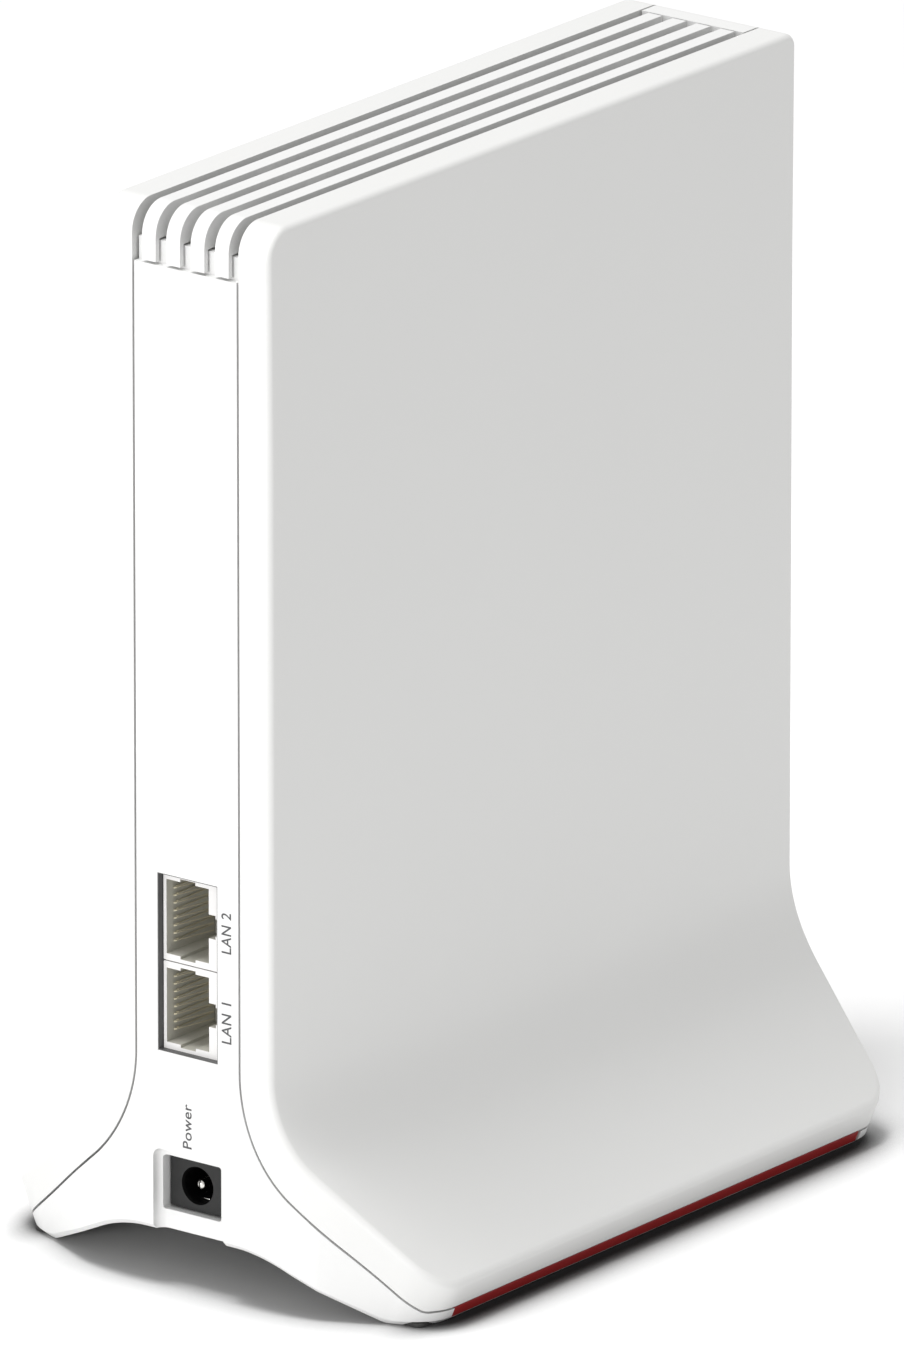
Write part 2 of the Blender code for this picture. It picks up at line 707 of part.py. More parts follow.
def tube(name, route, radius, finish):
    """A thin lead along a smooth route given in millimetres."""
    curve = bpy.data.curves.new(name, "CURVE")
    curve.dimensions = "3D"
    curve.bevel_depth = radius * MM
    curve.bevel_resolution = 1
    curve.use_fill_caps = True
    curve.resolution_u = 1
    curve.render_resolution_u = 0
    points = smooth_route(route, 4)
    spline = curve.splines.new("POLY")
    spline.points.add(len(points) - 1)
    for target, place in zip(spline.points, points):
        target.co = (*point(*place), 1.0)
    curve.materials.append(finish)
    obj = bpy.data.objects.new(name, curve)
    bpy.context.scene.collection.objects.link(obj)
    return obj


def smooth_route(route, steps):
    """Catmull-Rom points through a route, steps to each stretch."""
    ends = [route[0]] + list(route) + [route[-1]]
    result = []
    for i in range(len(route) - 1):
        a, b, c, d = (Vector(ends[i + k]) for k in range(4))
        for step in range(steps):
            t = step / steps
            result.append(0.5 * (2 * b + (c - a) * t + (2 * a - 5 * b + 4 * c - d) * t * t
                                 + (3 * b - a - 3 * c + d) * t ** 3))
    result.append(Vector(route[-1]))
    return result


def build_enclosure():
    white = material("white_plastic", (0.86, 0.86, 0.85), 0.45)
    panel = material("cover_plastic", (0.80, 0.80, 0.79), 0.5)
    red = material("red_accent", (0.35, 0.02, 0.03), 0.4)
    rubber = material("rubber", (0.03, 0.03, 0.03), 0.85)
    steel = material("steel", (0.55, 0.55, 0.56), 0.35, 1.0)
    centre_housing(white)
    cover("right_cover", 1, panel)
    cover("left_cover", -1, panel)
    top_grille(white)
    for side, label in ((1, "right"), (-1, "left")):
        accent_strip(f"{label}_accent_strip", side, red)
        for end, place in ((1, "rear"), (-1, "front")):
            x, y = side * FOOT_X, end * FOOT_Y
            rubber_foot(f"rubber_foot_{place}_{label}", x, y, rubber)
            screw(f"housing_screw_{place}_{label}", SCREW_HEAD, SCREW_CORE, 2.7, 8.8,
                  (x, y, 0), "Z", steel)
    paper = material("label_film", (0.75, 0.75, 0.74), 0.6)
    box("base_label", (-8.0, -24.0, ARCH_Z - 0.5), (8.0, 24.0, ARCH_Z - CLEAR), paper)


def build_board():
    green = material("board_green", (0.02, 0.14, 0.07), 0.5)
    black = material("chip_black", (0.02, 0.02, 0.022), 0.45)
    steel = material("steel", (0.55, 0.55, 0.56), 0.35, 1.0)
    tin = material("tinned_steel", (0.62, 0.62, 0.60), 0.3, 1.0)
    aluminium = material("aluminium", (0.70, 0.71, 0.72), 0.35, 1.0)
    pad = material("thermal_pad", (0.45, 0.55, 0.62), 0.8)
    ferrite = material("ferrite", (0.05, 0.05, 0.05), 0.6)
    main_board(green)
    for number, (y, z) in enumerate(BOARD_SCREWS, 1):
        screw(f"board_screw_{number}", 3.8, 1.6, BOARD_X[0] - CLEAR, 9.8, (0, y, z), "X", steel)
    chip("main_processor", 6, 96, (19, 19), 1.5, black)
    chip("memory_chip", -22, 96, (10, 13), 1.1, black)
    chip("flash_chip", -22, 78, (8, 6), 1.4, black)
    open_can("shield_can_low_band", (2.6, -46, 112), (6.1, -18, 142), 0.4, tin)
    open_can("shield_can_high_band", (2.6, 16, 118), (6.1, 48, 146), 0.4, tin)
    chip("low_band_radio", -32, 127, (9, 9), 0.9, black)
    chip("high_band_radio", 32, 132, (10, 10), 0.9, black)
    low, high = -13.0, 27.0
    box("thermal_pad_front", (3.3, -2, 88), (4.3, 14, 104), pad)
    outline = comb_profile((1.0, 3.0), -9.5, low, high, 8, 1.4)
    prism("finned_heatsink", outline, 74.0, 110.0, "Z", aluminium)
    box("thermal_pad_back", (8.3, -2, 88), (9.1, 14, 104), pad)
    outline = comb_profile((11.0, 9.4), 13.6, -34.0, 42.0, 12, 1.6)
    prism("back_heatsink", outline, 66.0, 126.0, "Z", aluminium)
    round_edges(chip("power_inductor", 40, 27, (8, 8), 4.2, ferrite), 1.2)
    for number, y in ((1, 26.0), (2, 16.0)):
        profile = [(2.6, BOARD_X[0] - CLEAR), (3.1, 5.6), (3.1, -1.5), (2.7, -2.0)]
        can = turned(f"capacitor_{number}", profile, (0, y, 27.0), "X", aluminium)
        shade_round(can)


def build_sockets():
    shell = material("jack_shell", (0.62, 0.61, 0.57), 0.35, 0.6)
    gold = material("gold_contact", (0.80, 0.62, 0.25), 0.25, 1.0)
    black = material("jack_black", (0.03, 0.03, 0.03), 0.4)
    chip_black = material("chip_black", (0.02, 0.02, 0.022), 0.45)
    nickel = material("nickel", (0.75, 0.74, 0.70), 0.25, 1.0)
    for number, z in enumerate(LAN_Z, 1):
        lan_jack(f"lan_jack_{number}", z, shell)
        lan_contacts(f"lan_contacts_{number}", z, gold)
        chip(f"lan_transformer_{number}", 42, z, (9, 12.6), 3.4, chip_black)
    face = HALF_DEPTH - POWER_FACE_IN
    half = POWER_TALL / 2
    made = box("dc_jack_body", (POWER_X - POWER_HALF, face - 14, POWER_Z - half),
               (POWER_X + POWER_HALF, face, POWER_Z + half), black)
    barrel = prism("dc_jack_barrel", circle(BARREL / 2, (POWER_X, POWER_Z), 24), face - 10,
                   face + 9, "Y")
    combine(made, barrel)
    profile = [(1.2, face - 9.6), (1.2, face - 9.0), (0.95, face - 8.8), (0.95, face - 1.4),
               (0.5, face - 0.9)]
    shade_round(turned("dc_jack_pin", profile, (POWER_X, 0, POWER_Z), "Y", nickel, sides=12))
    spring = [(face - 9.6, POWER_Z - 2.8), (face - 2.0, POWER_Z - 2.8), (face - 2.0, POWER_Z - 2.5),
              (face - 4.6, POWER_Z - 2.0), (face - 9.6, POWER_Z - 2.4)]
    prism("dc_jack_spring", spring, POWER_X - 0.8, POWER_X + 0.8, "X", nickel)


def build_front_controls():
    white = material("white_plastic", (0.86, 0.86, 0.85), 0.45)
    black = material("switch_black", (0.04, 0.04, 0.04), 0.5)
    clear = material("clear_guide", (0.80, 0.82, 0.84), 0.15)
    amber = material("led_resin", (0.75, 0.72, 0.55), 0.3)
    cap = BUTTON_ROUND / 2
    cap_front = -HALF_DEPTH + 0.2
    profile = [(cap - 0.5, 0.0), (cap, 0.5), (cap, 3.0), (cap + 1.2, 3.0), (cap + 1.2, 3.8),
               (1.6, 3.8), (1.6, 7.3)]
    button = turned("pair_button", profile, (0, 0, 0), "Y", white, sides=24)
    button.location = Vector((0, cap_front, BUTTON_Z)) * MM
    shade_round(button)
    plunger_front = cap_front + 7.3 + CLEAR
    plunger = turned("switch_plunger", [(1.4, 0.0), (1.4, 4.2)], (0, 0, 0), "Y", black, sides=12)
    plunger.location = Vector((0, plunger_front, BUTTON_Z)) * MM
    body_front = plunger_front + 1.8
    body = box("pair_switch_body", (-3.4, body_front, BUTTON_Z - 3.2),
               (BOARD_X[0] - CLEAR, body_front + 4.6, BUTTON_Z + 3.2), black)
    combine(body, prism("plunger_guide", circle(1.75, (0, BUTTON_Z), 14), body_front - 4,
                        body_front + 3.4, "Y"))
    guide = [(-1.1, cap_front), (1.1, cap_front), (1.1, -62.4), (4.3, -58.2), (4.3, -56.0),
             (3.4, -56.0), (-1.1, -61.6)]
    prism("light_guide", guide, LIGHT_Z - 1.1, LIGHT_Z + 1.1, "Z", clear)
    chip("status_led", -57.0, LIGHT_Z, (1.6, 2.4), 1.4, amber)


def build_antennas():
    laminate = material("antenna_laminate", (0.05, 0.20, 0.10), 0.5)
    jacket = material("lead_jacket", (0.12, 0.12, 0.13), 0.5)
    spots = (
        ("low_band_antenna_front", -1, -40.0, 158.0, (-36.0, 146.0)),
        ("low_band_antenna_rear", 1, -40.0, 150.0, (-24.0, 146.0)),
        ("high_band_antenna_front", -1, 44.0, 158.0, (28.0, 150.0)),
        ("high_band_antenna_rear", 1, 44.0, 150.0, (40.0, 150.0)),
    )
    plate = HALF_SLAB - COVER_FLOOR - CLEAR
    for name, side, y, z, (foot_y, foot_z) in spots:
        low, high = sorted((side * plate, side * (plate - 0.8)))
        box(name, (low, y - 18, z - 6), (high, y + 18, z + 6), laminate)
        skin = side * (plate - 0.8 - 0.9)
        start, bent = (skin, y, z - 2), skin - side * 1.2
        if side < 0:
            route = [start, (bent, y + 3, z - 8), (-4.0, (y + foot_y) / 2, z - 12),
                     (2.0, foot_y, foot_z + 2), (5.4, foot_y, foot_z)]
        else:
            route = [start, (bent, y + 2, z + 3), (9.6, (y + foot_y) / 2, 160.5),
                     (5.6, foot_y, 160.0), (4.0, foot_y, 154.0), (5.4, foot_y, foot_z)]
        tube(name.replace("antenna", "lead"), route, 0.55, jacket)


def main():
    clear_scene()
    build_enclosure()
    build_board()
    build_sockets()
    build_front_controls()
    build_antennas()


main()
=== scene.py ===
"""Looks of an upright desktop wireless router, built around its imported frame.

The frame's axes hold: +Z up, the socket face looks along +Y, the button and the
status light look along -Y, and the two big covers look along -X and +X.
Sizes in the classes below are in millimetres, with heights from a plane a little
above the ground; place() turns them into metres above the ground itself.
"""

import logging
import math
from collections.abc import Iterable, Sequence
from dataclasses import dataclass, field
from enum import Enum

import bmesh
import bpy
from mathutils import Matrix, Vector


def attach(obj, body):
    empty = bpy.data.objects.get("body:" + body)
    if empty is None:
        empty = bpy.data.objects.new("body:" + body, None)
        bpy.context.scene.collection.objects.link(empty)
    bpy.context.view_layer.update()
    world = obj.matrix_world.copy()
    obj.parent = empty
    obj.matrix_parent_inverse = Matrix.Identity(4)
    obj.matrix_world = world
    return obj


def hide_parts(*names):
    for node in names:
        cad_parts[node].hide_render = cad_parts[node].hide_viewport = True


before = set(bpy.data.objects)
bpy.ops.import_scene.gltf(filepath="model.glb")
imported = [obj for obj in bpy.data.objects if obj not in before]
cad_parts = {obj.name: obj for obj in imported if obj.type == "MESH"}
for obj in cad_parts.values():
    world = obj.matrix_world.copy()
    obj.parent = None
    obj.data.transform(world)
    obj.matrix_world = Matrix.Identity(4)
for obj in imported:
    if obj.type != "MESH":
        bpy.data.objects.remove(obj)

MM = 0.001
DATUM = 0.8
LOG = logging.getLogger("router")

Pair = tuple[float, float]
Triple = tuple[float, float, float]


class Side(Enum):
    """The two mirrored halves of the enclosure, by the sign of X."""

    LEFT = -1
    RIGHT = 1


class End(Enum):
    """The two ends of the enclosure, by the sign of Y."""

    REAR = 1
    FRONT = -1


class Axis(Enum):
    """The direction a shape is extruded or turned along."""

    X = 0
    Y = 1
    Z = 2


class Operation(Enum):
    """How one solid changes another."""

    CUT = "DIFFERENCE"
    JOIN = "UNION"


# ------------------------------------------------------------------ mesh tools

def place(x: float, y: float, z: float) -> Vector:
    """A place given in millimetres, as a vector in metres above the ground."""
    return Vector((x, y, z + DATUM)) * MM


def step(x: float, y: float, z: float) -> Vector:
    """A step from one place to the next, given in millimetres, in metres."""
    return Vector((x, y, z)) * MM


def ease(value: float) -> float:
    """A share from 0 to 1, eased at both ends."""
    value = min(max(value, 0.0), 1.0)
    return value * value * (3 - 2 * value)


def add(name: str, data: bpy.types.ID) -> bpy.types.Object:
    """A new object in the scene, at the origin."""
    made = bpy.data.objects.new(name, data)
    bpy.context.scene.collection.objects.link(made)
    return made


def solid(name: str, verts: Iterable[Triple], faces: Sequence[Sequence[int]],
          *finishes: bpy.types.Material) -> bpy.types.Object:
    """A mesh piece with merged doubles and faces turned outwards.

    Args:
        name: The piece's name.
        verts: Its points, in millimetres.
        faces: Its faces, as indices of points.
        finishes: The materials in its slots.

    Returns:
        The new object, at the origin.
    """
    mesh = bpy.data.meshes.new(name)
    mesh.from_pydata([place(*v) for v in verts], [], [list(f) for f in faces])
    shape = bmesh.new()
    shape.from_mesh(mesh)
    bmesh.ops.remove_doubles(shape, verts=shape.verts, dist=1e-7)
    bmesh.ops.recalc_face_normals(shape, faces=shape.faces)
    shape.to_mesh(mesh)
    shape.free()
    for finish in finishes:
        mesh.materials.append(finish)
    return add(name, mesh)


def loft(name: str, loops: Sequence[Sequence[Triple]], *finishes: bpy.types.Material,
         strip_caps: bool = False) -> bpy.types.Object:
    """A closed solid through loops of equal length.

    Args:
        name: The piece's name.
        loops: Closed loops of points, in order.
        finishes: The materials in its slots.
        strip_caps: Close each end with rungs between the loop's two halves.

    Returns:
        The new object.
    """
    size = len(loops[0])
    verts = [point for loop in loops for point in loop]
    faces: list[list[int]] = []
    for start in (0, len(verts) - size):
        if strip_caps:
            faces += [[start + i, start + i + 1, start + size - 2 - i, start + size - 1 - i]
                      for i in range(size // 2 - 1)]
        else:
            faces.append([start + i for i in range(size)])
    for ring in range(len(loops) - 1):
        start = ring * size
        for i in range(size):
            j = (i + 1) % size
            faces.append([start + i, start + j, start + size + j, start + size + i])
    return solid(name, verts, faces, *finishes)


def along_axis(axis: Axis, a: float, b: float, height: float) -> Triple:
    """A section point (a, b) at a height along an axis: (y, z), (x, z) or (x, y)."""
    return {Axis.X: (height, a, b), Axis.Y: (a, height, b), Axis.Z: (a, b, height)}[axis]


def prism(name: str, outline: Sequence[Pair], low: float, high: float, axis: Axis,
          *finishes: bpy.types.Material) -> bpy.types.Object:
    """An outline extruded along an axis, from low to high."""
    loops = [[along_axis(axis, a, b, height) for a, b in outline] for height in (low, high)]
    return loft(name, loops, *finishes)


def block(name: str, low: Triple, high: Triple, *finishes: bpy.types.Material) -> bpy.types.Object:
    """A rectangular cutter or core between two corners."""
    outline = [(low[0], low[1]), (high[0], low[1]), (high[0], high[1]), (low[0], high[1])]
    return prism(name, outline, low[2], high[2], Axis.Z, *finishes)


def arc(center: Pair, radius: float, start: float, end: float, steps: int) -> list[Pair]:
    """Points of an arc between two angles in degrees, both ends included."""
    turns = [math.radians(start + (end - start) * i / steps) for i in range(steps + 1)]
    return [(center[0] + radius * math.cos(t), center[1] + radius * math.sin(t)) for t in turns]


def circle(radius: float, center: Pair = (0.0, 0.0), sides: int = 32) -> list[Pair]:
    """Points round a circle."""
    return arc(center, radius, 0, 360, sides)[:-1]


def rounded(low: Pair, high: Pair, radius: float, steps: int = 5) -> list[Pair]:
    """A rectangle's outline with round corners."""
    spots = ((high[0] - radius, high[1] - radius, 0), (low[0] + radius, high[1] - radius, 90),
             (low[0] + radius, low[1] + radius, 180), (high[0] - radius, low[1] + radius, 270))
    return [p for x, y, turn in spots for p in arc((x, y), radius, turn, turn + 90, steps)]


def turned(name: str, profile: Sequence[Pair], center: Triple, axis: Axis,
           *finishes: bpy.types.Material, sides: int = 32) -> bpy.types.Object:
    """A solid turned about an axis.

    Args:
        name: The piece's name.
        profile: Pairs of radius and height along the axis, first to last.
        center: Where height 0 lies.
        axis: The axis it turns about.
        finishes: The materials in its slots.
        sides: Points round each ring.

    Returns:
        The new object.
    """
    loops = []
    for radius, height in profile:
        ring = [along_axis(axis, a, b, height) for a, b in circle(radius, sides=sides)]
        loops.append([tuple(p + c for p, c in zip(point, center)) for point in ring])
    return loft(name, loops, *finishes)


def settle(piece: bpy.types.Object) -> bpy.types.Object:
    """Applies a piece's modifiers to its mesh."""
    graph = bpy.context.evaluated_depsgraph_get()
    mesh = bpy.data.meshes.new_from_object(piece.evaluated_get(graph), depsgraph=graph)
    piece.modifiers.clear()
    before = piece.data
    piece.data = mesh
    bpy.data.meshes.remove(before)
    mesh.name = piece.name
    return piece


def discard(pieces: Iterable[bpy.types.Object]) -> None:
    """Removes pieces that other pieces have used up, with their meshes."""
    for piece in pieces:
        mesh = piece.data
        bpy.data.objects.remove(piece)
        bpy.data.meshes.remove(mesh)


def carve(target: bpy.types.Object, tools: Iterable[bpy.types.Object],
          operation: Operation = Operation.CUT) -> bpy.types.Object:
    """Cuts tools out of a target, or joins them on, and removes them.

    Args:
        target: The piece that changes.
        tools: The solids that change it, in order.
        operation: Cut or join.

    Returns:
        The target, with a plain mesh.
    """
    tools = list(tools)
    for tool in tools:
        change = target.modifiers.new(tool.name, "BOOLEAN")
        change.operation = operation.value
        change.solver = "EXACT"
        change.object = tool
    settle(target)
    discard(tools)
    return target


def round_edges(piece: bpy.types.Object, width: float, segments: int = 3,
                angle: float = 35.0) -> bpy.types.Object:
    """Rounds the edges that turn by more than an angle, and applies it."""
    bevel = piece.modifiers.new("edge_round", "BEVEL")
    bevel.width = width * MM
    bevel.segments = segments
    bevel.limit_method = "ANGLE"
    bevel.angle_limit = math.radians(angle)
    return settle(piece)


def polish(piece: bpy.types.Object, angle: float = 32.0) -> bpy.types.Object:
    """Smooth shading that keeps flat faces flat and true corners sharp."""
    piece.data.shade_smooth()
    piece.data.set_sharp_from_angle(angle=math.radians(angle))
    weighted = piece.modifiers.new("face_weights", "WEIGHTED_NORMAL")
    weighted.keep_sharp = True
    weighted.weight = 80
    return settle(piece)


def join(name: str, parts: Sequence[bpy.types.Object]) -> bpy.types.Object:
    """One piece made of several that belong to the same moulding.

    Args:
        name: The joined piece's name.
        parts: The objects that it takes in.

    Returns:
        The joined object.
    """
    shape = bmesh.new()
    finishes: list[bpy.types.Material] = []
    for part in parts:
        first = len(shape.faces)
        shape.from_mesh(part.data)
        shape.faces.ensure_lookup_table()
        for face in shape.faces[first:]:
            finish = part.data.materials[face.material_index]
            if finish not in finishes:
                finishes.append(finish)
            face.material_index = finishes.index(finish)
    mesh = bpy.data.meshes.new(name)
    shape.to_mesh(mesh)
    shape.free()
    for finish in finishes:
        mesh.materials.append(finish)
    discard(parts)
    return add(name, mesh)


def mount(piece: bpy.types.Object, body: str,
          stands_for: Sequence[str] = ()) -> bpy.types.Object:
    """Lets a finished piece ride on its body and hides the frame's nodes that it replaces.

    Args:
        piece: The finished piece.
        body: The frame's body that it moves with.
        stands_for: The frame's nodes that it replaces.

    Returns:
        The same piece.
    """
    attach(piece, body)
    if stands_for:
        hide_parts(*stands_for)
    LOG.info("%s rides on %s with %d faces", piece.name, body, len(piece.data.polygons))
    return piece


# --------------------------------------------------------------- shader groups

def blend(tree: bpy.types.NodeTree, share: bpy.types.NodeSocket,
          first: bpy.types.NodeSocket | Triple,
          second: bpy.types.NodeSocket | Triple) -> bpy.types.NodeSocket:
    """A colour between two colours.

    Args:
        tree: The node tree that takes the new node.
        share: The second colour's share.
        first: The first colour, or the socket that gives it.
        second: The second colour, or the socket that gives it.

    Returns:
        The blended colour.
    """
    mix = tree.nodes.new("ShaderNodeMix")
    mix.data_type = "RGBA"
    tree.links.new(share, mix.inputs["Factor"])
    for label, color in (("A", first), ("B", second)):
        if isinstance(color, bpy.types.NodeSocket):
            tree.links.new(color, mix.inputs[label])
        else:
            mix.inputs[label].default_value = (*color, 1.0)
    return mix.outputs["Result"]


class Effects:
    """Shader node groups that the finishes share, each built once."""

    def __init__(self) -> None:
        """Builds every group."""
        self.grain = self._grain()
        self.drift = self._drift()
        self.dust = self._dust()
        self.brush = self._brush()

    @staticmethod
    def _group(name: str, inputs: Sequence[tuple[str, str, float]],
               outputs: Sequence[tuple[str, str]]) -> bpy.types.NodeTree:
        """An empty shader group with its sockets.

        Args:
            name: The group's name.
            inputs: Socket name, socket type and default value.
            outputs: Socket name and socket type.

        Returns:
            The group, with one input and one output node.
        """
        tree = bpy.data.node_groups.new(name, "ShaderNodeTree")
        for label, kind, value in inputs:
            made = tree.interface.new_socket(label, in_out="INPUT", socket_type=kind)
            if kind == "NodeSocketFloat":
                made.default_value = value
        for label, kind in outputs:
            tree.interface.new_socket(label, in_out="OUTPUT", socket_type=kind)
        tree.nodes.new("NodeGroupInput").name = "in"
        tree.nodes.new("NodeGroupOutput").name = "out"
        return tree

    @staticmethod
    def _noise(tree: bpy.types.NodeTree, scale: bpy.types.NodeSocket, detail: float,
               rough: float = 0.55) -> bpy.types.Node:
        """A noise texture on object coordinates with a linked scale."""
        where = tree.nodes.new("ShaderNodeTexCoord")
        noise = tree.nodes.new("ShaderNodeTexNoise")
        noise.inputs["Detail"].default_value = detail
        noise.inputs["Roughness"].default_value = rough
        tree.links.new(where.outputs["Object"], noise.inputs["Vector"])
        tree.links.new(scale, noise.inputs["Scale"])
        return noise

    @staticmethod
    def _math(tree: bpy.types.NodeTree, kind: str, first: bpy.types.NodeSocket,
              second: bpy.types.NodeSocket | float) -> bpy.types.NodeSocket:
        """The result of one Math node."""
        node = tree.nodes.new("ShaderNodeMath")
        node.operation = kind
        tree.links.new(first, node.inputs[0])
        if isinstance(second, bpy.types.NodeSocket):
            tree.links.new(second, node.inputs[1])
        else:
            node.inputs[1].default_value = second
        return node.outputs[0]

    def _grain(self) -> bpy.types.NodeTree:
        """Moulded grain: a fine texture and the slow waves of a cooled wall."""
        tree = self._group("moulded_grain", [
            ("Fine Scale", "NodeSocketFloat", 2600.0), ("Wave Scale", "NodeSocketFloat", 28.0),
            ("Wave Share", "NodeSocketFloat", 0.3), ("Gloss", "NodeSocketFloat", 0.4),
            ("Gloss Spread", "NodeSocketFloat", 0.08),
        ], [("Height", "NodeSocketFloat"), ("Roughness", "NodeSocketFloat")])
        given, out = tree.nodes["in"], tree.nodes["out"]
        fine = self._noise(tree, given.outputs["Fine Scale"], 2.0)
        wave = self._noise(tree, given.outputs["Wave Scale"], 1.0)
        slow = self._math(tree, "MULTIPLY", wave.outputs["Fac"], given.outputs["Wave Share"])
        height = self._math(tree, "ADD", fine.outputs["Fac"], slow)
        around = self._math(tree, "SUBTRACT", wave.outputs["Fac"], 0.5)
        speck = self._math(tree, "SUBTRACT", fine.outputs["Fac"], 0.5)
        both = self._math(tree, "ADD", around, speck)
        change = self._math(tree, "MULTIPLY", both, given.outputs["Gloss Spread"])
        gloss = self._math(tree, "ADD", change, given.outputs["Gloss"])
        tree.links.new(height, out.inputs["Height"])
        tree.links.new(gloss, out.inputs["Roughness"])
        return tree

    def _drift(self) -> bpy.types.NodeTree:
        """A slow wander of tone between two close colours."""
        tree = self._group("tone_drift", [
            ("Color", "NodeSocketColor", 0.0), ("Second Color", "NodeSocketColor", 0.0),
            ("Scale", "NodeSocketFloat", 18.0),
        ], [("Color", "NodeSocketColor")])
        given, out = tree.nodes["in"], tree.nodes["out"]
        slow = self._noise(tree, given.outputs["Scale"], 3.0)
        tone = blend(tree, slow.outputs["Fac"], given.outputs["Color"],
                     given.outputs["Second Color"])
        tree.links.new(tone, out.inputs["Color"])
        return tree

    def _dust(self) -> bpy.types.NodeTree:
        """A thin settling of dust on what faces up."""
        tree = self._group("settled_dust", [
            ("Color", "NodeSocketColor", 0.0), ("Dust Color", "NodeSocketColor", 0.0),
            ("Amount", "NodeSocketFloat", 0.05), ("Scale", "NodeSocketFloat", 900.0),
        ], [("Color", "NodeSocketColor"), ("Mask", "NodeSocketFloat")])
        given, out = tree.nodes["in"], tree.nodes["out"]
        surface = tree.nodes.new("ShaderNodeNewGeometry")
        parts = tree.nodes.new("ShaderNodeSeparateXYZ")
        tree.links.new(surface.outputs["Normal"], parts.inputs[0])
        upward = self._math(tree, "MAXIMUM", parts.outputs["Z"], 0.0)
        speck = self._noise(tree, given.outputs["Scale"], 2.0)
        settled = self._math(tree, "MULTIPLY", upward, speck.outputs["Fac"])
        mask = self._math(tree, "MULTIPLY", settled, given.outputs["Amount"])
        dusty = blend(tree, mask, given.outputs["Color"], given.outputs["Dust Color"])
        tree.links.new(dusty, out.inputs["Color"])
        tree.links.new(mask, out.inputs["Mask"])
        return tree

    def _brush(self) -> bpy.types.NodeTree:
        """Fine drawn lines along one axis, as rolled or brushed metal has."""
        tree = self._group("drawn_lines", [
            ("Scale", "NodeSocketFloat", 900.0), ("Gloss", "NodeSocketFloat", 0.3),
            ("Gloss Spread", "NodeSocketFloat", 0.2),
        ], [("Height", "NodeSocketFloat"), ("Roughness", "NodeSocketFloat")])
        given, out = tree.nodes["in"], tree.nodes["out"]
        where = tree.nodes.new("ShaderNodeTexCoord")
        stretch = tree.nodes.new("ShaderNodeMapping")
        stretch.inputs["Scale"].default_value = (1.0, 1.0, 0.04)
        lines = tree.nodes.new("ShaderNodeTexNoise")
        lines.inputs["Detail"].default_value = 3.0
        tree.links.new(where.outputs["Object"], stretch.inputs["Vector"])
        tree.links.new(stretch.outputs["Vector"], lines.inputs["Vector"])
        tree.links.new(given.outputs["Scale"], lines.inputs["Scale"])
        around = self._math(tree, "SUBTRACT", lines.outputs["Fac"], 0.5)
        change = self._math(tree, "MULTIPLY", around, given.outputs["Gloss Spread"])
        gloss = self._math(tree, "ADD", change, given.outputs["Gloss"])
        tree.links.new(lines.outputs["Fac"], out.inputs["Height"])
        tree.links.new(gloss, out.inputs["Roughness"])
        return tree


# -------------------------------------------------------------------- finishes

@dataclass(frozen=True)
class Finish:
    """A surface: its colours, gloss and moulded grain."""

    name: str
    color: Triple
    second: Triple
    gloss: float = 0.4
    metal: float = 0.0
    grain_scale: float = 2600.0
    grain_depth: float = 0.006
    drift_scale: float = 18.0
    dust: float = 0.0
    coat: float = 0.0
    shine: float = 0.5
    drawn: bool = False

    def make(self, effects: Effects) -> bpy.types.Material:
        """Builds the material's nodes.

        Args:
            effects: The shared shader groups.

        Returns:
            The finished material.
        """
        made = bpy.data.materials.new(self.name)
        made.use_nodes = True
        made.diffuse_color = (*self.color, 1.0)
        tree = made.node_tree
        shader = tree.nodes["Principled BSDF"]
        shader.inputs["Metallic"].default_value = self.metal
        shader.inputs["Coat Weight"].default_value = self.coat
        shader.inputs["Specular IOR Level"].default_value = self.shine
        tone = self._place(tree, effects.drift, {
            "Color": (*self.color, 1.0), "Second Color": (*self.second, 1.0),
            "Scale": self.drift_scale,
        })
        color = self._pattern(tree, tone.outputs["Color"])
        if self.dust > 0:
            dusty = self._place(tree, effects.dust, {
                "Dust Color": (0.62, 0.60, 0.56, 1.0), "Amount": self.dust,
            })
            tree.links.new(color, dusty.inputs["Color"])
            color = dusty.outputs["Color"]
        tree.links.new(color, shader.inputs["Base Color"])
        if self.drawn:
            relief = self._place(tree, effects.brush, {
                "Scale": self.grain_scale, "Gloss": self.gloss,
            })
        else:
            relief = self._place(tree, effects.grain, {
                "Fine Scale": self.grain_scale, "Gloss": self.gloss,
            })
        tree.links.new(relief.outputs["Roughness"], shader.inputs["Roughness"])
        bump = tree.nodes.new("ShaderNodeBump")
        bump.inputs["Strength"].default_value = 0.6
        bump.inputs["Distance"].default_value = self.grain_depth * MM
        tree.links.new(relief.outputs["Height"], bump.inputs["Height"])
        tree.links.new(bump.outputs["Normal"], shader.inputs["Normal"])
        self._extra(shader)
        return made

    @staticmethod
    def _place(tree: bpy.types.NodeTree, group: bpy.types.NodeTree,
               values: dict[str, float | tuple[float, ...]]) -> bpy.types.Node:
        """Puts a shared group into a material with its own values."""
        node = tree.nodes.new("ShaderNodeGroup")
        node.node_tree = group
        for label, value in values.items():
            node.inputs[label].default_value = value
        return node

    def _pattern(self, tree: bpy.types.NodeTree,
                 color: bpy.types.NodeSocket) -> bpy.types.NodeSocket:
        """The colour with the finish's own pattern; plain finishes have none."""
        return color

    def _extra(self, shader: bpy.types.Node) -> None:
        """Sets what only some finishes need on the shader."""


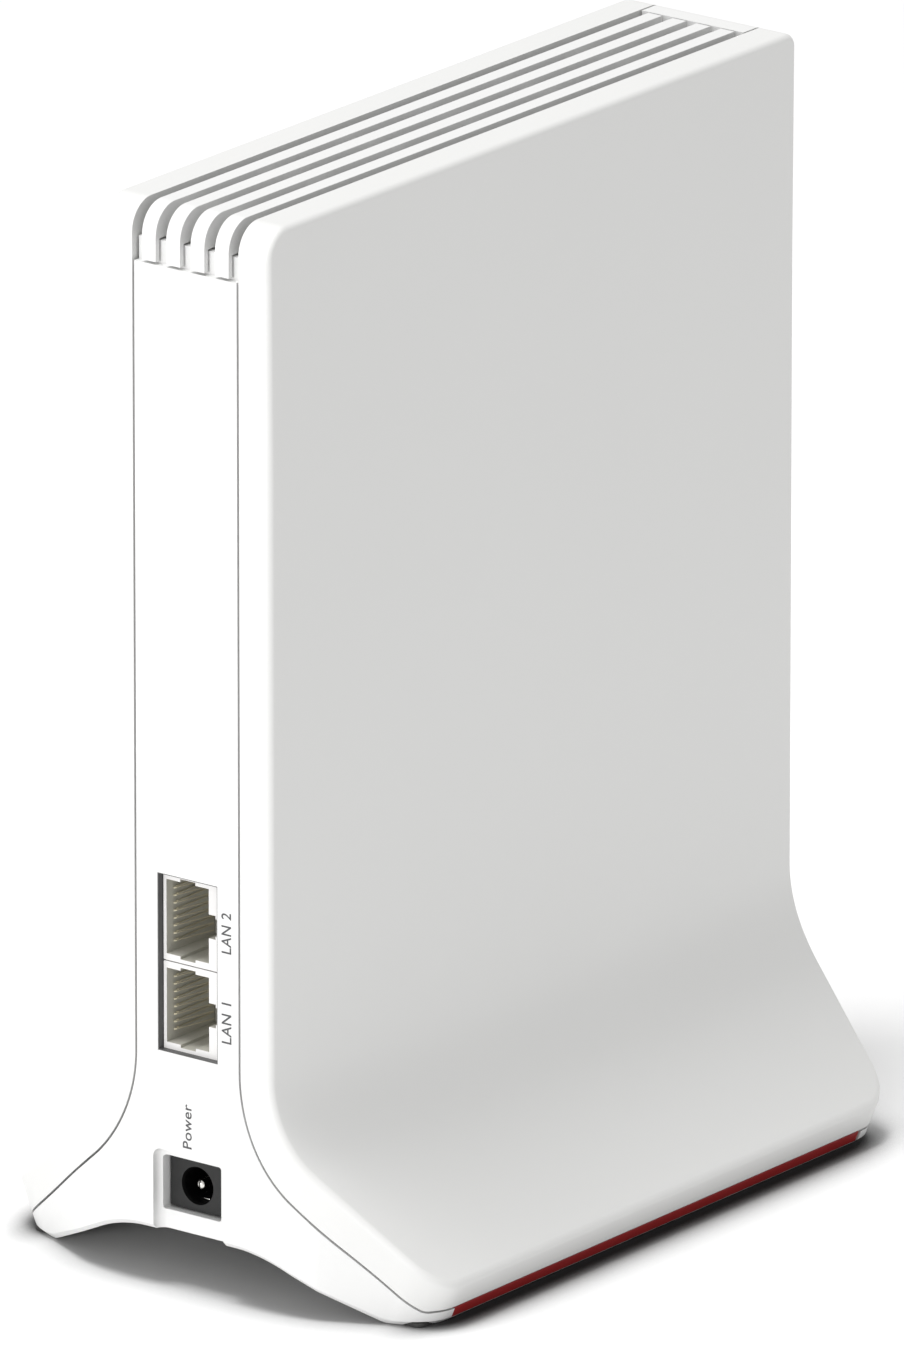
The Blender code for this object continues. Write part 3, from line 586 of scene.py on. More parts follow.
@dataclass(frozen=True)
class BoardFinish(Finish):
    """Solder mask with copper tracks that show through as a lighter tone."""

    track: Triple = (0.05, 0.30, 0.14)
    track_scale: float = 260.0
    track_edge: Pair = (0.42, 0.46)

    def _pattern(self, tree: bpy.types.NodeTree,
                 color: bpy.types.NodeSocket) -> bpy.types.NodeSocket:
        """Tracks as the cell borders of a blocky voronoi pattern.

        Args:
            tree: The material's node tree.
            color: The colour of the solder mask.

        Returns:
            The colour with its tracks.
        """
        where = tree.nodes.new("ShaderNodeTexCoord")
        cells = tree.nodes.new("ShaderNodeTexVoronoi")
        cells.distance = "CHEBYCHEV"
        cells.feature = "F1"
        cells.inputs["Scale"].default_value = self.track_scale
        tree.links.new(where.outputs["Object"], cells.inputs["Vector"])
        ramp = tree.nodes.new("ShaderNodeValToRGB")
        for stop, position in zip(ramp.color_ramp.elements, self.track_edge):
            stop.position = position
        tree.links.new(cells.outputs["Distance"], ramp.inputs["Fac"])
        return blend(tree, ramp.outputs["Color"], color, self.track)


@dataclass(frozen=True)
class ClearFinish(Finish):
    """Clear resin that passes light."""

    passes: float = 0.85
    bends: float = 1.49

    def _extra(self, shader: bpy.types.Node) -> None:
        """Sets the light that the resin passes."""
        shader.inputs["Transmission Weight"].default_value = self.passes
        shader.inputs["IOR"].default_value = self.bends


@dataclass(frozen=True)
class PaintedShadowPaper(Finish):
    """Matt studio paper with a painted contact shadow: its colour darkens where something stands
    close above it.
    """

    reach: float = 0.020
    open_from: Pair = (0.36, 0.92)
    close_reach: float = 0.010
    close_from: Pair = (0.25, 0.95)
    # Painted shadow tones: shade beside the base, under_shade under the arch and deep in the dark
    # band close along the base's long edges.
    shade: Triple = (0.115, 0.115, 0.115)
    under_shade: Triple = (0.5, 0.5, 0.5)
    deep: Triple = (0.022, 0.022, 0.022)
    base_edge: Pair = (0.034, 0.042)

    def _pattern(self, tree: bpy.types.NodeTree,
                 color: bpy.types.NodeSocket) -> bpy.types.NodeSocket:
        """The paper's tone, darkened with painted shadow by what hides its sky close by.

        Args:
            tree: The material's node tree.
            color: The colour of open paper.

        Returns:
            The colour with its painted contact shadow.
        """
        # Painted contact shadow: an ambient occlusion test darkens the paper's colour where the
        # router stands close above.
        close = self._hidden(tree, self.close_reach, self.close_from)
        beside = blend(tree, close, self.deep, self.shade)
        near = blend(tree, self._outside(tree), self.under_shade, beside)
        return blend(tree, self._hidden(tree, self.reach, self.open_from), near, color)

    def _outside(self, tree: bpy.types.NodeTree) -> bpy.types.NodeSocket:
        """A share that is 0 under the base and 1 beyond its long edges, picking the painted shade
        for each.
        """
        where = tree.nodes.new("ShaderNodeTexCoord")
        parts = tree.nodes.new("ShaderNodeSeparateXYZ")
        tree.links.new(where.outputs["Object"], parts.inputs[0])
        across = tree.nodes.new("ShaderNodeMath")
        across.operation = "ABSOLUTE"
        tree.links.new(parts.outputs["X"], across.inputs[0])
        return self._eased(tree, across.outputs[0], self.base_edge)

    @staticmethod
    def _eased(tree: bpy.types.NodeTree, value: bpy.types.NodeSocket,
               limits: Pair) -> bpy.types.NodeSocket:
        """A value as a share from 0 to 1, eased between two limits."""
        eased = tree.nodes.new("ShaderNodeMapRange")
        eased.interpolation_type = "SMOOTHSTEP"
        for label, limit in zip(("From Min", "From Max"), limits):
            eased.inputs[label].default_value = limit
        tree.links.new(value, eased.inputs["Value"])
        return eased.outputs["Result"]

    def _hidden(self, tree: bpy.types.NodeTree, reach: float,
                limits: Pair) -> bpy.types.NodeSocket:
        """How open the sky is over a place, eased between two limits.

        Args:
            tree: The material's node tree.
            reach: How far above something counts, in metres.
            limits: The openness that reads as closed, and as open.

        Returns:
            A share from 0, closed, to 1, open.
        """
        look = tree.nodes.new("ShaderNodeAmbientOcclusion")
        look.samples = 16
        look.inputs["Distance"].default_value = reach
        return self._eased(tree, look.outputs["AO"], limits)


class Palette:
    """Every finish of the router, built from the shared groups."""

    def __init__(self, effects: Effects) -> None:
        """Builds each material once.

        Args:
            effects: The shared shader groups.
        """
        self.body = Finish("white_plastic", (0.76, 0.76, 0.755), (0.745, 0.745, 0.738), 0.42,
                           dust=0.03).make(effects)
        self.cover = Finish("cover_plastic", (0.74, 0.74, 0.73), (0.725, 0.725, 0.715), 0.46,
                            dust=0.03).make(effects)
        self.red = Finish("red_accent", (0.34, 0.018, 0.018), (0.30, 0.015, 0.016), 0.36,
                          grain_scale=3200.0, coat=0.2).make(effects)
        self.rubber = Finish("rubber", (0.035, 0.035, 0.035), (0.05, 0.05, 0.048), 0.85,
                             grain_scale=1500.0, grain_depth=0.03, dust=0.2).make(effects)
        self.steel = Finish("steel", (0.52, 0.52, 0.53), (0.46, 0.46, 0.47), 0.32, 1.0,
                            1400.0, drawn=True).make(effects)
        self.label = Finish("label_film", (0.74, 0.74, 0.73), (0.70, 0.70, 0.69), 0.5,
                            grain_scale=3600.0).make(effects)
        self.ink = Finish("label_ink", (0.06, 0.06, 0.063), (0.08, 0.08, 0.084), 0.5,
                          grain_scale=4200.0).make(effects)
        self.board = BoardFinish("board_green", (0.015, 0.11, 0.055), (0.02, 0.14, 0.07), 0.35,
                                 coat=0.3).make(effects)
        self.chip = Finish("chip_black", (0.02, 0.02, 0.022), (0.03, 0.03, 0.032), 0.5,
                           grain_depth=0.01).make(effects)
        self.tin = Finish("tinned_steel", (0.60, 0.60, 0.58), (0.52, 0.52, 0.50), 0.3, 1.0,
                          900.0, drawn=True).make(effects)
        self.aluminium = Finish("aluminium", (0.68, 0.69, 0.70), (0.60, 0.61, 0.62), 0.35, 1.0,
                                1100.0, drawn=True).make(effects)
        self.pad = Finish("thermal_pad", (0.42, 0.52, 0.60), (0.38, 0.48, 0.56), 0.8,
                          grain_scale=900.0, grain_depth=0.04).make(effects)
        self.ferrite = Finish("ferrite", (0.05, 0.05, 0.052), (0.08, 0.08, 0.08), 0.6,
                              grain_scale=1600.0, grain_depth=0.03).make(effects)
        self.jack = Finish("jack_shell", (0.56, 0.55, 0.48), (0.47, 0.46, 0.42), 0.5,
                           drift_scale=160.0, shine=0.3).make(effects)
        # A near-black sheet colour that paints the shade on the walls of the sockets' opening.
        self.shadow_sheet = Finish("socket_shield", (0.09, 0.09, 0.09), (0.12, 0.12, 0.12), 0.45,
                             0.4, shine=0.3).make(effects)
        self.jack_face = Finish("jack_face", (0.80, 0.79, 0.78), (0.77, 0.76, 0.75), 0.4,
                                ).make(effects)
        self.gold = Finish("gold_contact", (0.60, 0.54, 0.40), (0.52, 0.47, 0.35), 0.4, 0.3,
                           1200.0, drawn=True).make(effects)
        # A brighter copy of the contact gold, put on the springs' bends as a painted highlight.
        self.tip = Finish("gold_contact_painted_highlight", (0.92, 0.86, 0.66), (0.84, 0.78, 0.58), 0.3, 0.3,
                          1200.0, drawn=True).make(effects)
        self.black = Finish("jack_black", (0.012, 0.012, 0.012), (0.016, 0.016, 0.016), 0.5,
                            shine=0.35).make(effects)
        # A near-black copy of the inlet's black for the bore's walls, as painted shade in the
        # hole.
        self.bore = Finish("jack_bore", (0.0015, 0.0015, 0.0015), (0.002, 0.002, 0.002), 0.7,
                           shine=0.05).make(effects)
        self.nickel = Finish("nickel", (0.80, 0.79, 0.75), (0.70, 0.69, 0.66), 0.18, 1.0,
                             1200.0, drawn=True).make(effects)
        self.switch = Finish("switch_black", (0.035, 0.035, 0.035), (0.05, 0.05, 0.05), 0.5,
                             ).make(effects)
        self.clear = ClearFinish("clear_guide", (0.85, 0.87, 0.88), (0.80, 0.82, 0.84), 0.15,
                                 ).make(effects)
        self.resin = ClearFinish("led_resin", (0.78, 0.74, 0.52), (0.70, 0.66, 0.45), 0.25,
                                 passes=0.4).make(effects)
        self.laminate = BoardFinish("antenna_laminate", (0.03, 0.13, 0.07), (0.04, 0.16, 0.09),
                                    0.4, track=(0.45, 0.30, 0.12), track_scale=90.0).make(effects)
        self.jacket = Finish("lead_jacket", (0.10, 0.10, 0.105), (0.14, 0.14, 0.145), 0.45,
                             ).make(effects)


# -------------------------------------------------------------- geometry nodes

class CopyTree:
    """A Geometry Nodes tree that repeats the piece it is put on."""

    def __init__(self, name: str) -> None:
        """Makes the tree with its sockets.

        Args:
            name: The tree's name.
        """
        self.tree = bpy.data.node_groups.new(name, "GeometryNodeTree")
        face = self.tree.interface
        face.new_socket("Geometry", in_out="OUTPUT", socket_type="NodeSocketGeometry")
        face.new_socket("Geometry", in_out="INPUT", socket_type="NodeSocketGeometry")
        face.new_socket("Material", in_out="INPUT", socket_type="NodeSocketMaterial")
        self.given = self.tree.nodes.new("NodeGroupInput")
        self.out = self.tree.nodes.new("NodeGroupOutput")
        self.inputs: dict[str, str] = {}

    def ask(self, label: str, kind: str) -> bpy.types.NodeSocket:
        """Adds a named input and returns its socket on the input node."""
        self.tree.interface.new_socket(label, in_out="INPUT", socket_type=kind)
        return self.given.outputs[label]

    def node(self, kind: str, **values: object) -> bpy.types.Node:
        """Adds a node and sets its properties."""
        made = self.tree.nodes.new(kind)
        for label, value in values.items():
            setattr(made, label, value)
        return made

    def link(self, source: bpy.types.NodeSocket, target: bpy.types.NodeSocket) -> None:
        """Links two sockets."""
        self.tree.links.new(source, target)

    def close(self, points: bpy.types.NodeSocket,
              turn: bpy.types.NodeSocket | None = None) -> None:
        """Ends the tree: copies on the points, realized and given the material.

        Args:
            points: The points that take a copy each.
            turn: A rotation for each copy, or None.
        """
        copies = self.node("GeometryNodeInstanceOnPoints")
        real = self.node("GeometryNodeRealizeInstances")
        dress = self.node("GeometryNodeSetMaterial")
        self.link(points, copies.inputs["Points"])
        self.link(self.given.outputs["Geometry"], copies.inputs["Instance"])
        if turn is not None:
            self.link(turn, copies.inputs["Rotation"])
        self.link(copies.outputs["Instances"], real.inputs["Geometry"])
        self.link(real.outputs["Geometry"], dress.inputs["Geometry"])
        self.link(self.given.outputs["Material"], dress.inputs["Material"])
        self.link(dress.outputs["Geometry"], self.out.inputs["Geometry"])

    def apply(self, piece: bpy.types.Object, values: dict[str, object]) -> bpy.types.Object:
        """Runs the tree on a piece and leaves a plain mesh.

        Args:
            piece: The object that is repeated.
            values: The tree's inputs by name.

        Returns:
            The same object, with every copy in its mesh.
        """
        modifier = piece.modifiers.new(self.tree.name, "NODES")
        modifier.node_group = self.tree
        for item in self.tree.interface.items_tree:
            if item.item_type == "SOCKET" and item.in_out == "INPUT" and item.name in values:
                modifier[item.identifier] = values[item.name]
        finish = values["Material"]
        settle(piece)
        piece.data.materials.clear()
        piece.data.materials.append(finish)
        piece.data.polygons.foreach_set("material_index", [0] * len(piece.data.polygons))
        return piece


class Repeats:
    """The trees that repeat pieces in rows and on the corners of a rectangle."""

    def __init__(self) -> None:
        """Builds the trees once."""
        self._rows = self._row()
        self._grids = self._grid()

    def row(self, piece: bpy.types.Object, count: int, offset: Triple,
            finish: bpy.types.Material) -> bpy.types.Object:
        """Repeats a piece in a row, in millimetres from one to the next."""
        return self._rows.apply(piece, {"Count": count, "Step": step(*offset),
                                        "Material": finish})

    def corners(self, piece: bpy.types.Object, spot: Pair, most: float, seed: int,
                finish: bpy.types.Material) -> bpy.types.Object:
        """Repeats a piece on four corners.

        Args:
            piece: The object that is repeated.
            spot: The corner at +X and +Y, in millimetres.
            most: The most that a copy is turned, in radians.
            seed: The seed of the turns.
            finish: The copies' material.

        Returns:
            The same object, with every copy in its mesh.
        """
        return self._grids.apply(piece, {
            "Width": 2 * spot[0] * MM, "Depth": 2 * spot[1] * MM, "Most Turn": most,
            "Seed": seed, "Material": finish,
        })

    @staticmethod
    def _row() -> CopyTree:
        """Copies at equal steps, the first where the piece is."""
        tree = CopyTree("equal_row")
        count = tree.ask("Count", "NodeSocketInt")
        offset = tree.ask("Step", "NodeSocketVector")
        line = tree.node("GeometryNodeMeshLine", mode="OFFSET")
        tree.link(count, line.inputs["Count"])
        tree.link(offset, line.inputs["Offset"])
        tree.close(line.outputs["Mesh"])
        return tree

    @staticmethod
    def _grid() -> CopyTree:
        """Copies on the corners of a rectangle, each with its own seeded turn."""
        tree = CopyTree("corner_grid")
        wide = tree.ask("Width", "NodeSocketFloat")
        deep = tree.ask("Depth", "NodeSocketFloat")
        most = tree.ask("Most Turn", "NodeSocketFloat")
        seed = tree.ask("Seed", "NodeSocketInt")
        plate = tree.node("GeometryNodeMeshGrid")
        plate.inputs["Vertices X"].default_value = 2
        plate.inputs["Vertices Y"].default_value = 2
        tree.link(wide, plate.inputs["Size X"])
        tree.link(deep, plate.inputs["Size Y"])
        chance = tree.node("FunctionNodeRandomValue", data_type="FLOAT")
        floats = [s for s in chance.inputs if s.type == "VALUE" and s.enabled]
        named = {s.name: s for s in floats}
        tree.link(most, named["Max"])
        tree.link(seed, chance.inputs["Seed"])
        turn = tree.node("ShaderNodeCombineXYZ")
        value = next(s for s in chance.outputs if s.type == "VALUE" and s.enabled)
        tree.link(value, turn.inputs["Z"])
        rotation = tree.node("FunctionNodeEulerToRotation")
        tree.link(turn.outputs[0], rotation.inputs[0])
        tree.close(plate.outputs["Mesh"], rotation.outputs[0])
        return tree


# ------------------------------------------------------------- enclosure shape

@dataclass(frozen=True)
class Form:
    """The rules that give the enclosure its outer shape."""

    depth: float = 139.0
    height: float = 180.0
    base_width: float = 88.0
    slab_width: float = 33.4
    gap: float = 0.4
    flare_radius: float = 20.0
    leg_slope: float = math.radians(40)
    crease_z: float = 6.5
    toe_lean: float = math.radians(23)
    edge_z: float = 2.1
    rim: float = 6.05
    top_round: float = 5.0
    front_round: float = 2.5
    flat_half: float = 12.0
    taper_blend: float = 35.0
    taper: float = math.radians(20)
    toe_round: float = 8.0
    foot_z: float = -0.6
    arch_z: float = 8.85
    arch_flat: float = 9.0
    arch_round: float = 22.0
    arch_slope: float = math.radians(26)

    @property
    def half_depth(self) -> float:
        """Half of the depth along Y."""
        return self.depth / 2

    @property
    def half_base(self) -> float:
        """Half of the width at the base."""
        return self.base_width / 2

    @property
    def half_slab(self) -> float:
        """Half of the width of the upright slab."""
        return self.slab_width / 2

    @property
    def half_belt(self) -> float:
        """Half of the width of the housing's band between the covers."""
        return self.half_slab - self.rim - self.gap

    @property
    def toe_start(self) -> float:
        """Where the round corner of the toe begins."""
        return self.half_base - self.toe_round * (1 - math.sin(self.taper))

    @property
    def leg_run(self) -> float:
        """The straight leg's reach along X."""
        return (self.half_base - self.half_slab
                - self.flare_radius * (1 - math.sin(self.leg_slope)))

    @property
    def leg_start(self) -> float:
        """Where the flare ends and the straight leg begins."""
        return self.half_base - self.leg_run

    @property
    def leg_top(self) -> float:
        """Height of the leg's upper end."""
        return self.crease_z + self.leg_run * math.tan(self.leg_slope)

    @property
    def flare_angle(self) -> float:
        """The angle that the flare turns through."""
        return math.pi / 2 - self.leg_slope

    @property
    def flare_top(self) -> float:
        """Height at which the flare begins."""
        return self.leg_top + self.flare_radius * math.sin(self.flare_angle)

    @property
    def slab_length(self) -> float:
        """Run down the outer face over the upright slab."""
        return self.height - self.flare_top

    @property
    def flare_length(self) -> float:
        """Run down the outer face over the flare."""
        return self.flare_radius * self.flare_angle

    def plan_drop(self, across: float) -> float:
        """How far the end face lies in from half the depth.

        Args:
            across: The plan place across the base.

        Returns:
            The drop along Y.
        """
        across = abs(across)
        blend_end = self.flat_half + self.taper_blend * math.sin(self.taper)
        blend_drop = self.taper_blend * (1 - math.cos(self.taper))
        if across < self.flat_half:
            return 0.0
        if across < blend_end:
            inner = (across - self.flat_half) ** 2
            return self.taper_blend - math.sqrt(self.taper_blend ** 2 - inner)
        if across < self.toe_start:
            return blend_drop + (across - blend_end) * math.tan(self.taper)
        drop = blend_drop + (self.toe_start - blend_end) * math.tan(self.taper)
        reach = min(across - (self.half_base - self.toe_round), self.toe_round)
        return (drop + self.toe_round * math.cos(self.taper)
                - math.sqrt(self.toe_round ** 2 - reach ** 2))

    def lean(self, across: float) -> float:
        """Sideways lean of the plan outline, per unit down from the outer face."""
        share = (across - self.leg_start) / (self.toe_start - self.leg_start)
        return math.tan(self.toe_lean) * ease(share)

    def leg_height(self, across: float) -> float:
        """Height of the leg's outer face."""
        return self.crease_z + (self.half_base - across) * math.tan(self.leg_slope)

    def leaning_x(self, across: float, z: float) -> float:
        """The x, at a height, of the plan line named by its place on the face."""
        if across < self.leg_start:
            return across
        return across - self.lean(across) * (self.leg_height(across) - z)

    def reach(self, x: float, z: float) -> float:
        """Half the depth of the enclosure at a place in its profile.

        Args:
            x: The place across.
            z: The height.

        Returns:
            The end face's distance from the middle, along Y.
        """
        across = abs(x)
        if across > self.leg_start - 8:
            for _ in range(30):
                across = abs(x) + self.lean(across) * (self.leg_height(across) - z)
        return self.half_depth - self.plan_drop(min(across, self.half_base))

    def profile(self, run: float, inward: float) -> Pair:
        """A place (x, z) in the right cover.

        Args:
            run: The way down the outer face from the top.
            inward: The depth below the outer face.

        Returns:
            The place in the profile.
        """
        if run <= self.slab_length:
            return self.half_slab - inward, self.height - run
        center = self.half_slab + self.flare_radius
        if run <= self.slab_length + self.flare_length:
            angle = math.pi + (run - self.slab_length) / self.flare_radius
            radius = self.flare_radius + inward
            return (center + radius * math.cos(angle),
                    self.flare_top + radius * math.sin(angle))
        along = run - self.slab_length - self.flare_length
        x = self.leg_start + along * math.cos(self.leg_slope)
        z = self.leg_top - along * math.sin(self.leg_slope)
        share = min((x - self.leg_start) / (self.toe_start - self.leg_start), 1.0)
        tilt = self.leg_slope + (self.toe_lean - self.leg_slope) * share
        reach = min(inward / math.cos(self.leg_slope - tilt),
                    (z - self.edge_z) / math.cos(tilt))
        return x - reach * math.sin(tilt), z - reach * math.cos(tilt)

    def run_at(self, x: float) -> float:
        """The run down the outer face at which a leg point lies at x."""
        return (self.slab_length + self.flare_length
                + (x - self.leg_start) / math.cos(self.leg_slope))

    def arch_height(self, x: float) -> float:
        """Height of the underside across the base.

        Args:
            x: The place across.

        Returns:
            The underside's height.
        """
        x = abs(x)
        bend = self.arch_round * math.sin(self.arch_slope)
        if x < self.arch_flat:
            return self.arch_z
        if x < self.arch_flat + bend:
            inner = (x - self.arch_flat) ** 2
            return self.arch_z - self.arch_round + math.sqrt(self.arch_round ** 2 - inner)
        drop = self.arch_round * (1 - math.cos(self.arch_slope))
        line = self.arch_z - drop - (x - self.arch_flat - bend) * math.tan(self.arch_slope)
        return max(line, self.foot_z)

    def seam_height(self, x: float) -> float:
        """Height of the housing's upper edge under the cover, across a leg.

        Args:
            x: The place across.

        Returns:
            The edge's height.
        """
        inner = self.rim + self.gap
        center = self.half_slab + self.flare_radius
        radius = self.flare_radius + inner
        line = self.leg_height(x) - inner / math.cos(self.leg_slope)
        if x < center - radius * math.cos(self.flare_angle):
            line = self.flare_top - math.sqrt(max(radius ** 2 - (center - x) ** 2, 0.0))
        return max(line, self.edge_z - self.gap)


@dataclass
class Assembly:
    """What every sub-assembly is built from."""

    form: Form
    palette: Palette
    repeats: Repeats


@dataclass
class Covers(Assembly):
    """The two tray-shaped covers with their screw bosses."""

    edge_round: float = 1.0
    edge_hold: float = 0.15
    wall: float = 3.0
    floor: float = 2.2
    boss_radius: float = 2.7
    boss_spot: Pair = (36.2, 50.0)

    def stations(self, corner: float) -> list[tuple[float, float | None]]:
        """Outline stations down one end, as (run, fixed half width or None).

        Args:
            corner: The radius of the end's top corner.

        Returns:
            The stations from the top to the toe.
        """
        form, steps = self.form, 14
        found: list[tuple[float, float | None]] = []
        for i in range(steps + 1):
            angle = math.pi / 2 * i / steps
            found.append((corner * (1 - math.cos(angle)),
                          form.half_depth - corner * (1 - math.sin(angle))))
        found += [(form.slab_length * share, None) for share in (0.25, 0.5, 0.75)]
        found += [(form.slab_length + form.flare_length * i / 30, None) for i in range(31)]
        span = form.toe_start - form.leg_start
        found += [(form.run_at(form.leg_start + span * i / 10), None) for i in range(1, 10)]
        for i in range(steps + 1):
            angle = form.taper + (math.pi / 2 - form.taper) * i / steps
            x = form.half_base - form.toe_round * (1 - math.sin(angle))
            found.append((form.run_at(x), form.half_depth - form.plan_drop(x)))
        return found

    def end_line(self, corner: float, inset: float, inward: float) -> list[Vector]:
        """One end's outline in a layer, drawn in from the edge.

        Args:
            corner: The radius of the end's top corner.
            inset: How far it is drawn in from the edge.
            inward: How deep it lies below the outer face.

        Returns:
            Its points, as (run, half width).
        """
        form = self.form
        flat: list[Vector] = []
        for run, fixed in self.stations(corner):
            width = fixed if fixed is not None else form.reach(*form.profile(run, inward))
            flat.append(Vector((run, width)))
        ends = [Vector((flat[0].x, 0.0)), *flat, Vector((flat[-1].x, 0.0))]
        line: list[Vector] = []
        for i, here in enumerate(flat):
            before = (here - ends[i]).normalized()
            after = (ends[i + 2] - here).normalized()
            along = (before + after).normalized()
            miter = max(along.dot(after), 0.5)
            line.append(here + Vector((along.y, -along.x)) * (inset / miter))
        return line

    def layer(self, inset: float, inward: float) -> list[Triple]:
        """One closed outline of the right cover.

        Args:
            inset: How far it is drawn in from the edge.
            inward: How deep it lies below the outer face.

        Returns:
            The outline's points, +Y end first.
        """
        form = self.form
        rear = self.end_line(form.top_round, inset, inward)
        front = self.end_line(form.front_round, inset, inward)
        points: list[Triple] = []
        for sign, order in ((1, rear), (-1, list(reversed(front)))):
            for spot in order:
                x, z = form.profile(spot.x, inward)
                points.append((x, sign * spot.y, z))
        return points

    def build(self, side: Side) -> bpy.types.Object:
        """Makes one cover with its round edge, rim, inner floor and bosses.

        Args:
            side: The half that it closes.

        Returns:
            The finished cover.
        """
        turns = [math.pi / 2 * i / 6 for i in range(7)]
        edge, hold = self.edge_round, self.edge_round + self.edge_hold
        steps = [(hold, 0.0)]
        steps += [(edge * (1 - math.sin(t)), edge * (1 - math.cos(t))) for t in turns]
        steps += [(0.0, hold), (0.0, self.form.rim), (self.wall, self.form.rim),
                  (self.wall, self.floor)]
        loops = []
        for inset, inward in steps:
            loops.append([(side.value * x, y, z) for x, y, z in self.layer(inset, inward)])
        name = f"{side.name.lower()}_cover_shell"
        made = loft(name, loops, self.palette.cover, strip_caps=True)
        spots = [(side.value * self.boss_spot[0], end.value * self.boss_spot[1], 0.0)
                 for end in End]
        carve(made, [turned(f"boss_{i}", [(self.boss_radius, 4.6), (self.boss_radius, 10.6)],
                            spot, Axis.Z) for i, spot in enumerate(spots)], Operation.JOIN)
        carve(made, [turned(f"pilot_{i}", [(1.1, 3.0), (1.1, 9.4)], spot, Axis.Z, sides=20)
                     for i, spot in enumerate(spots)])
        return polish(made, 28)

    def dress(self) -> None:
        """Builds both covers and mounts them."""
        for side in Side:
            node = f"{side.name.lower()}_cover"
            mount(self.build(side), "router", [node])


@dataclass
class Housing(Assembly):
    """The centre housing: end faces, arched base, sockets' openings and vents."""

    wall: float = 2.2
    floor_z: float = 4.0
    chamfer: float = 0.8
    panel_top: float = 170.5
    strip_depth: float = 5.8
    lip_top: float = 174.3
    lip_in: float = 1.3
    lip_thick: float = 1.2
    lan_half: float = 6.05
    lan_low: float = 39.4
    lan_high: float = 69.3
    recess_half: float = 7.1
    recess_top: float = 22.8
    recess_in: float = 2.1
    recess_round: float = 1.5
    power_x: float = 0.7
    power_z: float = 16.6
    power_half: float = 5.75
    power_tall: float = 4.6
    button_z: float = 32.0
    button_radius: float = 4.9
    light_z: float = 44.0
    board_x: Pair = (6.4, 8.0)
    board_screws: tuple[Pair, ...] = ((61.5, 30.0), (61.5, 148.0), (-56.0, 18.0),
                                      (-56.0, 148.0))
    strip_half: float = 54.3
    foot: Pair = (36.2, 50.0)

    def columns(self) -> list[Triple]:
        """Half of the end face, as (across, low z, high z) columns."""
        form = self.form
        center = form.half_slab + form.flare_radius
        radius = form.flare_radius + form.rim + form.gap
        places = [form.arch_flat - 3.0, form.arch_flat]
        places += [center - radius * math.cos(form.flare_angle * i / 24) for i in range(25)]
        span = form.toe_start - form.leg_start
        places += [form.leg_start + span * i / 16 for i in range(17)]
        for i in range(1, 13):
            angle = form.taper + (math.pi / 2 - form.taper) * i / 12
            places.append(form.half_base - form.toe_round * (1 - math.sin(angle)))
        found = []
        for across in sorted(set(round(p, 6) for p in places)):
            low, high = form.foot_z, form.edge_z
            for _ in range(14):
                low = form.arch_height(form.leaning_x(across, low))
                high = form.seam_height(form.leaning_x(across, high))
            found.append((across, low, high))
        return found

    def shell(self) -> bpy.types.Object:
        """The housing's solid outer form, lofted across X."""
        form = self.form
        columns = self.columns()
        belt = max(i for i, c in enumerate(columns) if c[0] < form.half_belt + 0.01)
        ends = [(form.leaning_x(across, form.foot_z), form.plan_drop(across))
                for across in (form.leg_start, form.toe_start)]
        fall = (ends[1][1] - ends[0][1]) / (ends[1][0] - ends[0][0])
        loops: list[list[Triple]] = []
        for number, (across, low, high) in enumerate(columns[:belt + 1] + columns[belt:]):
            mid, high = (form.flare_top, form.height) if number <= belt else (high, high)
            if number == belt + 1:
                mid = high = form.flare_top
            reach = min(max(across - (form.half_base - form.toe_round), 0.0)
                        / form.toe_round, 1.0)
            turn = math.asin(reach) if across >= form.toe_start - 1e-6 else 0.0
            rows = [[form.leaning_x(across, z), form.half_depth - form.plan_drop(across), z]
                    for z in (low, low + self.chamfer, mid, high)]
            if form.leg_start < across < form.toe_start:
                for row in rows[:2]:
                    row[1] = form.half_depth - ends[0][1] - fall * (row[0] - ends[0][0])
            rows[0][0] -= self.chamfer * math.sin(turn)
            rows[0][1] -= self.chamfer * math.cos(turn)
            loops.append([tuple(row) for row in rows]
                         + [(x, -y, z) for x, y, z in reversed(rows)])
        mirrored = [[(-x, y, z) for x, y, z in loop] for loop in reversed(loops)]
        return loft("router_housing", mirrored + loops, self.palette.body, strip_caps=True)

    def cavity(self) -> bpy.types.Object:
        """The hollow: open at the sides, with a floor over the arch."""
        form = self.form
        loops: list[list[Triple]] = []
        for across in (0.0, 6.0, form.arch_flat, 14.0, 18.5, 22.0, 26.5, 30.0, 34.0, 37.0,
                       40.0, 46.0):
            floor = max(form.arch_height(across) + self.wall, self.floor_z)
            depth = form.reach(min(across, form.half_base), floor) - self.wall
            loops.append([(across, depth, floor), (across, depth, 169.0),
                          (across, -depth, 169.0), (across, -depth, floor)])
        mirrored = [[(-x, y, z) for x, y, z in loop] for loop in reversed(loops[1:])]
        return loft("housing_cavity", mirrored + loops)

    def openings(self) -> list[bpy.types.Object]:
        """The cutters of the top: its round front corner and the grille's pocket."""
        form = self.form
        half, high = form.half_depth, form.height
        turn = form.front_round
        corner = arc((-half + turn, high - turn), turn, 180, 90, 14)
        corner += [(-half + turn, high + 9), (-half - 9, high + 9), (-half - 9, high - turn)]
        front, lip = -half + self.strip_depth, half - self.lip_in
        pocket = [
            (front, high + 12), (front, self.lip_top), (front + 2.4, self.lip_top),
            (front + 2.4, 165.0), (lip - self.lip_thick, 165.0),
            (lip - self.lip_thick, self.lip_top), (lip, self.lip_top), (lip, self.panel_top),
            (half + 9, self.panel_top), (half + 9, high + 12),
        ]
        return [prism("front_corner", corner, -60, 60, Axis.X),
                prism("grille_pocket", pocket, -60, 60, Axis.X), self.cavity()]

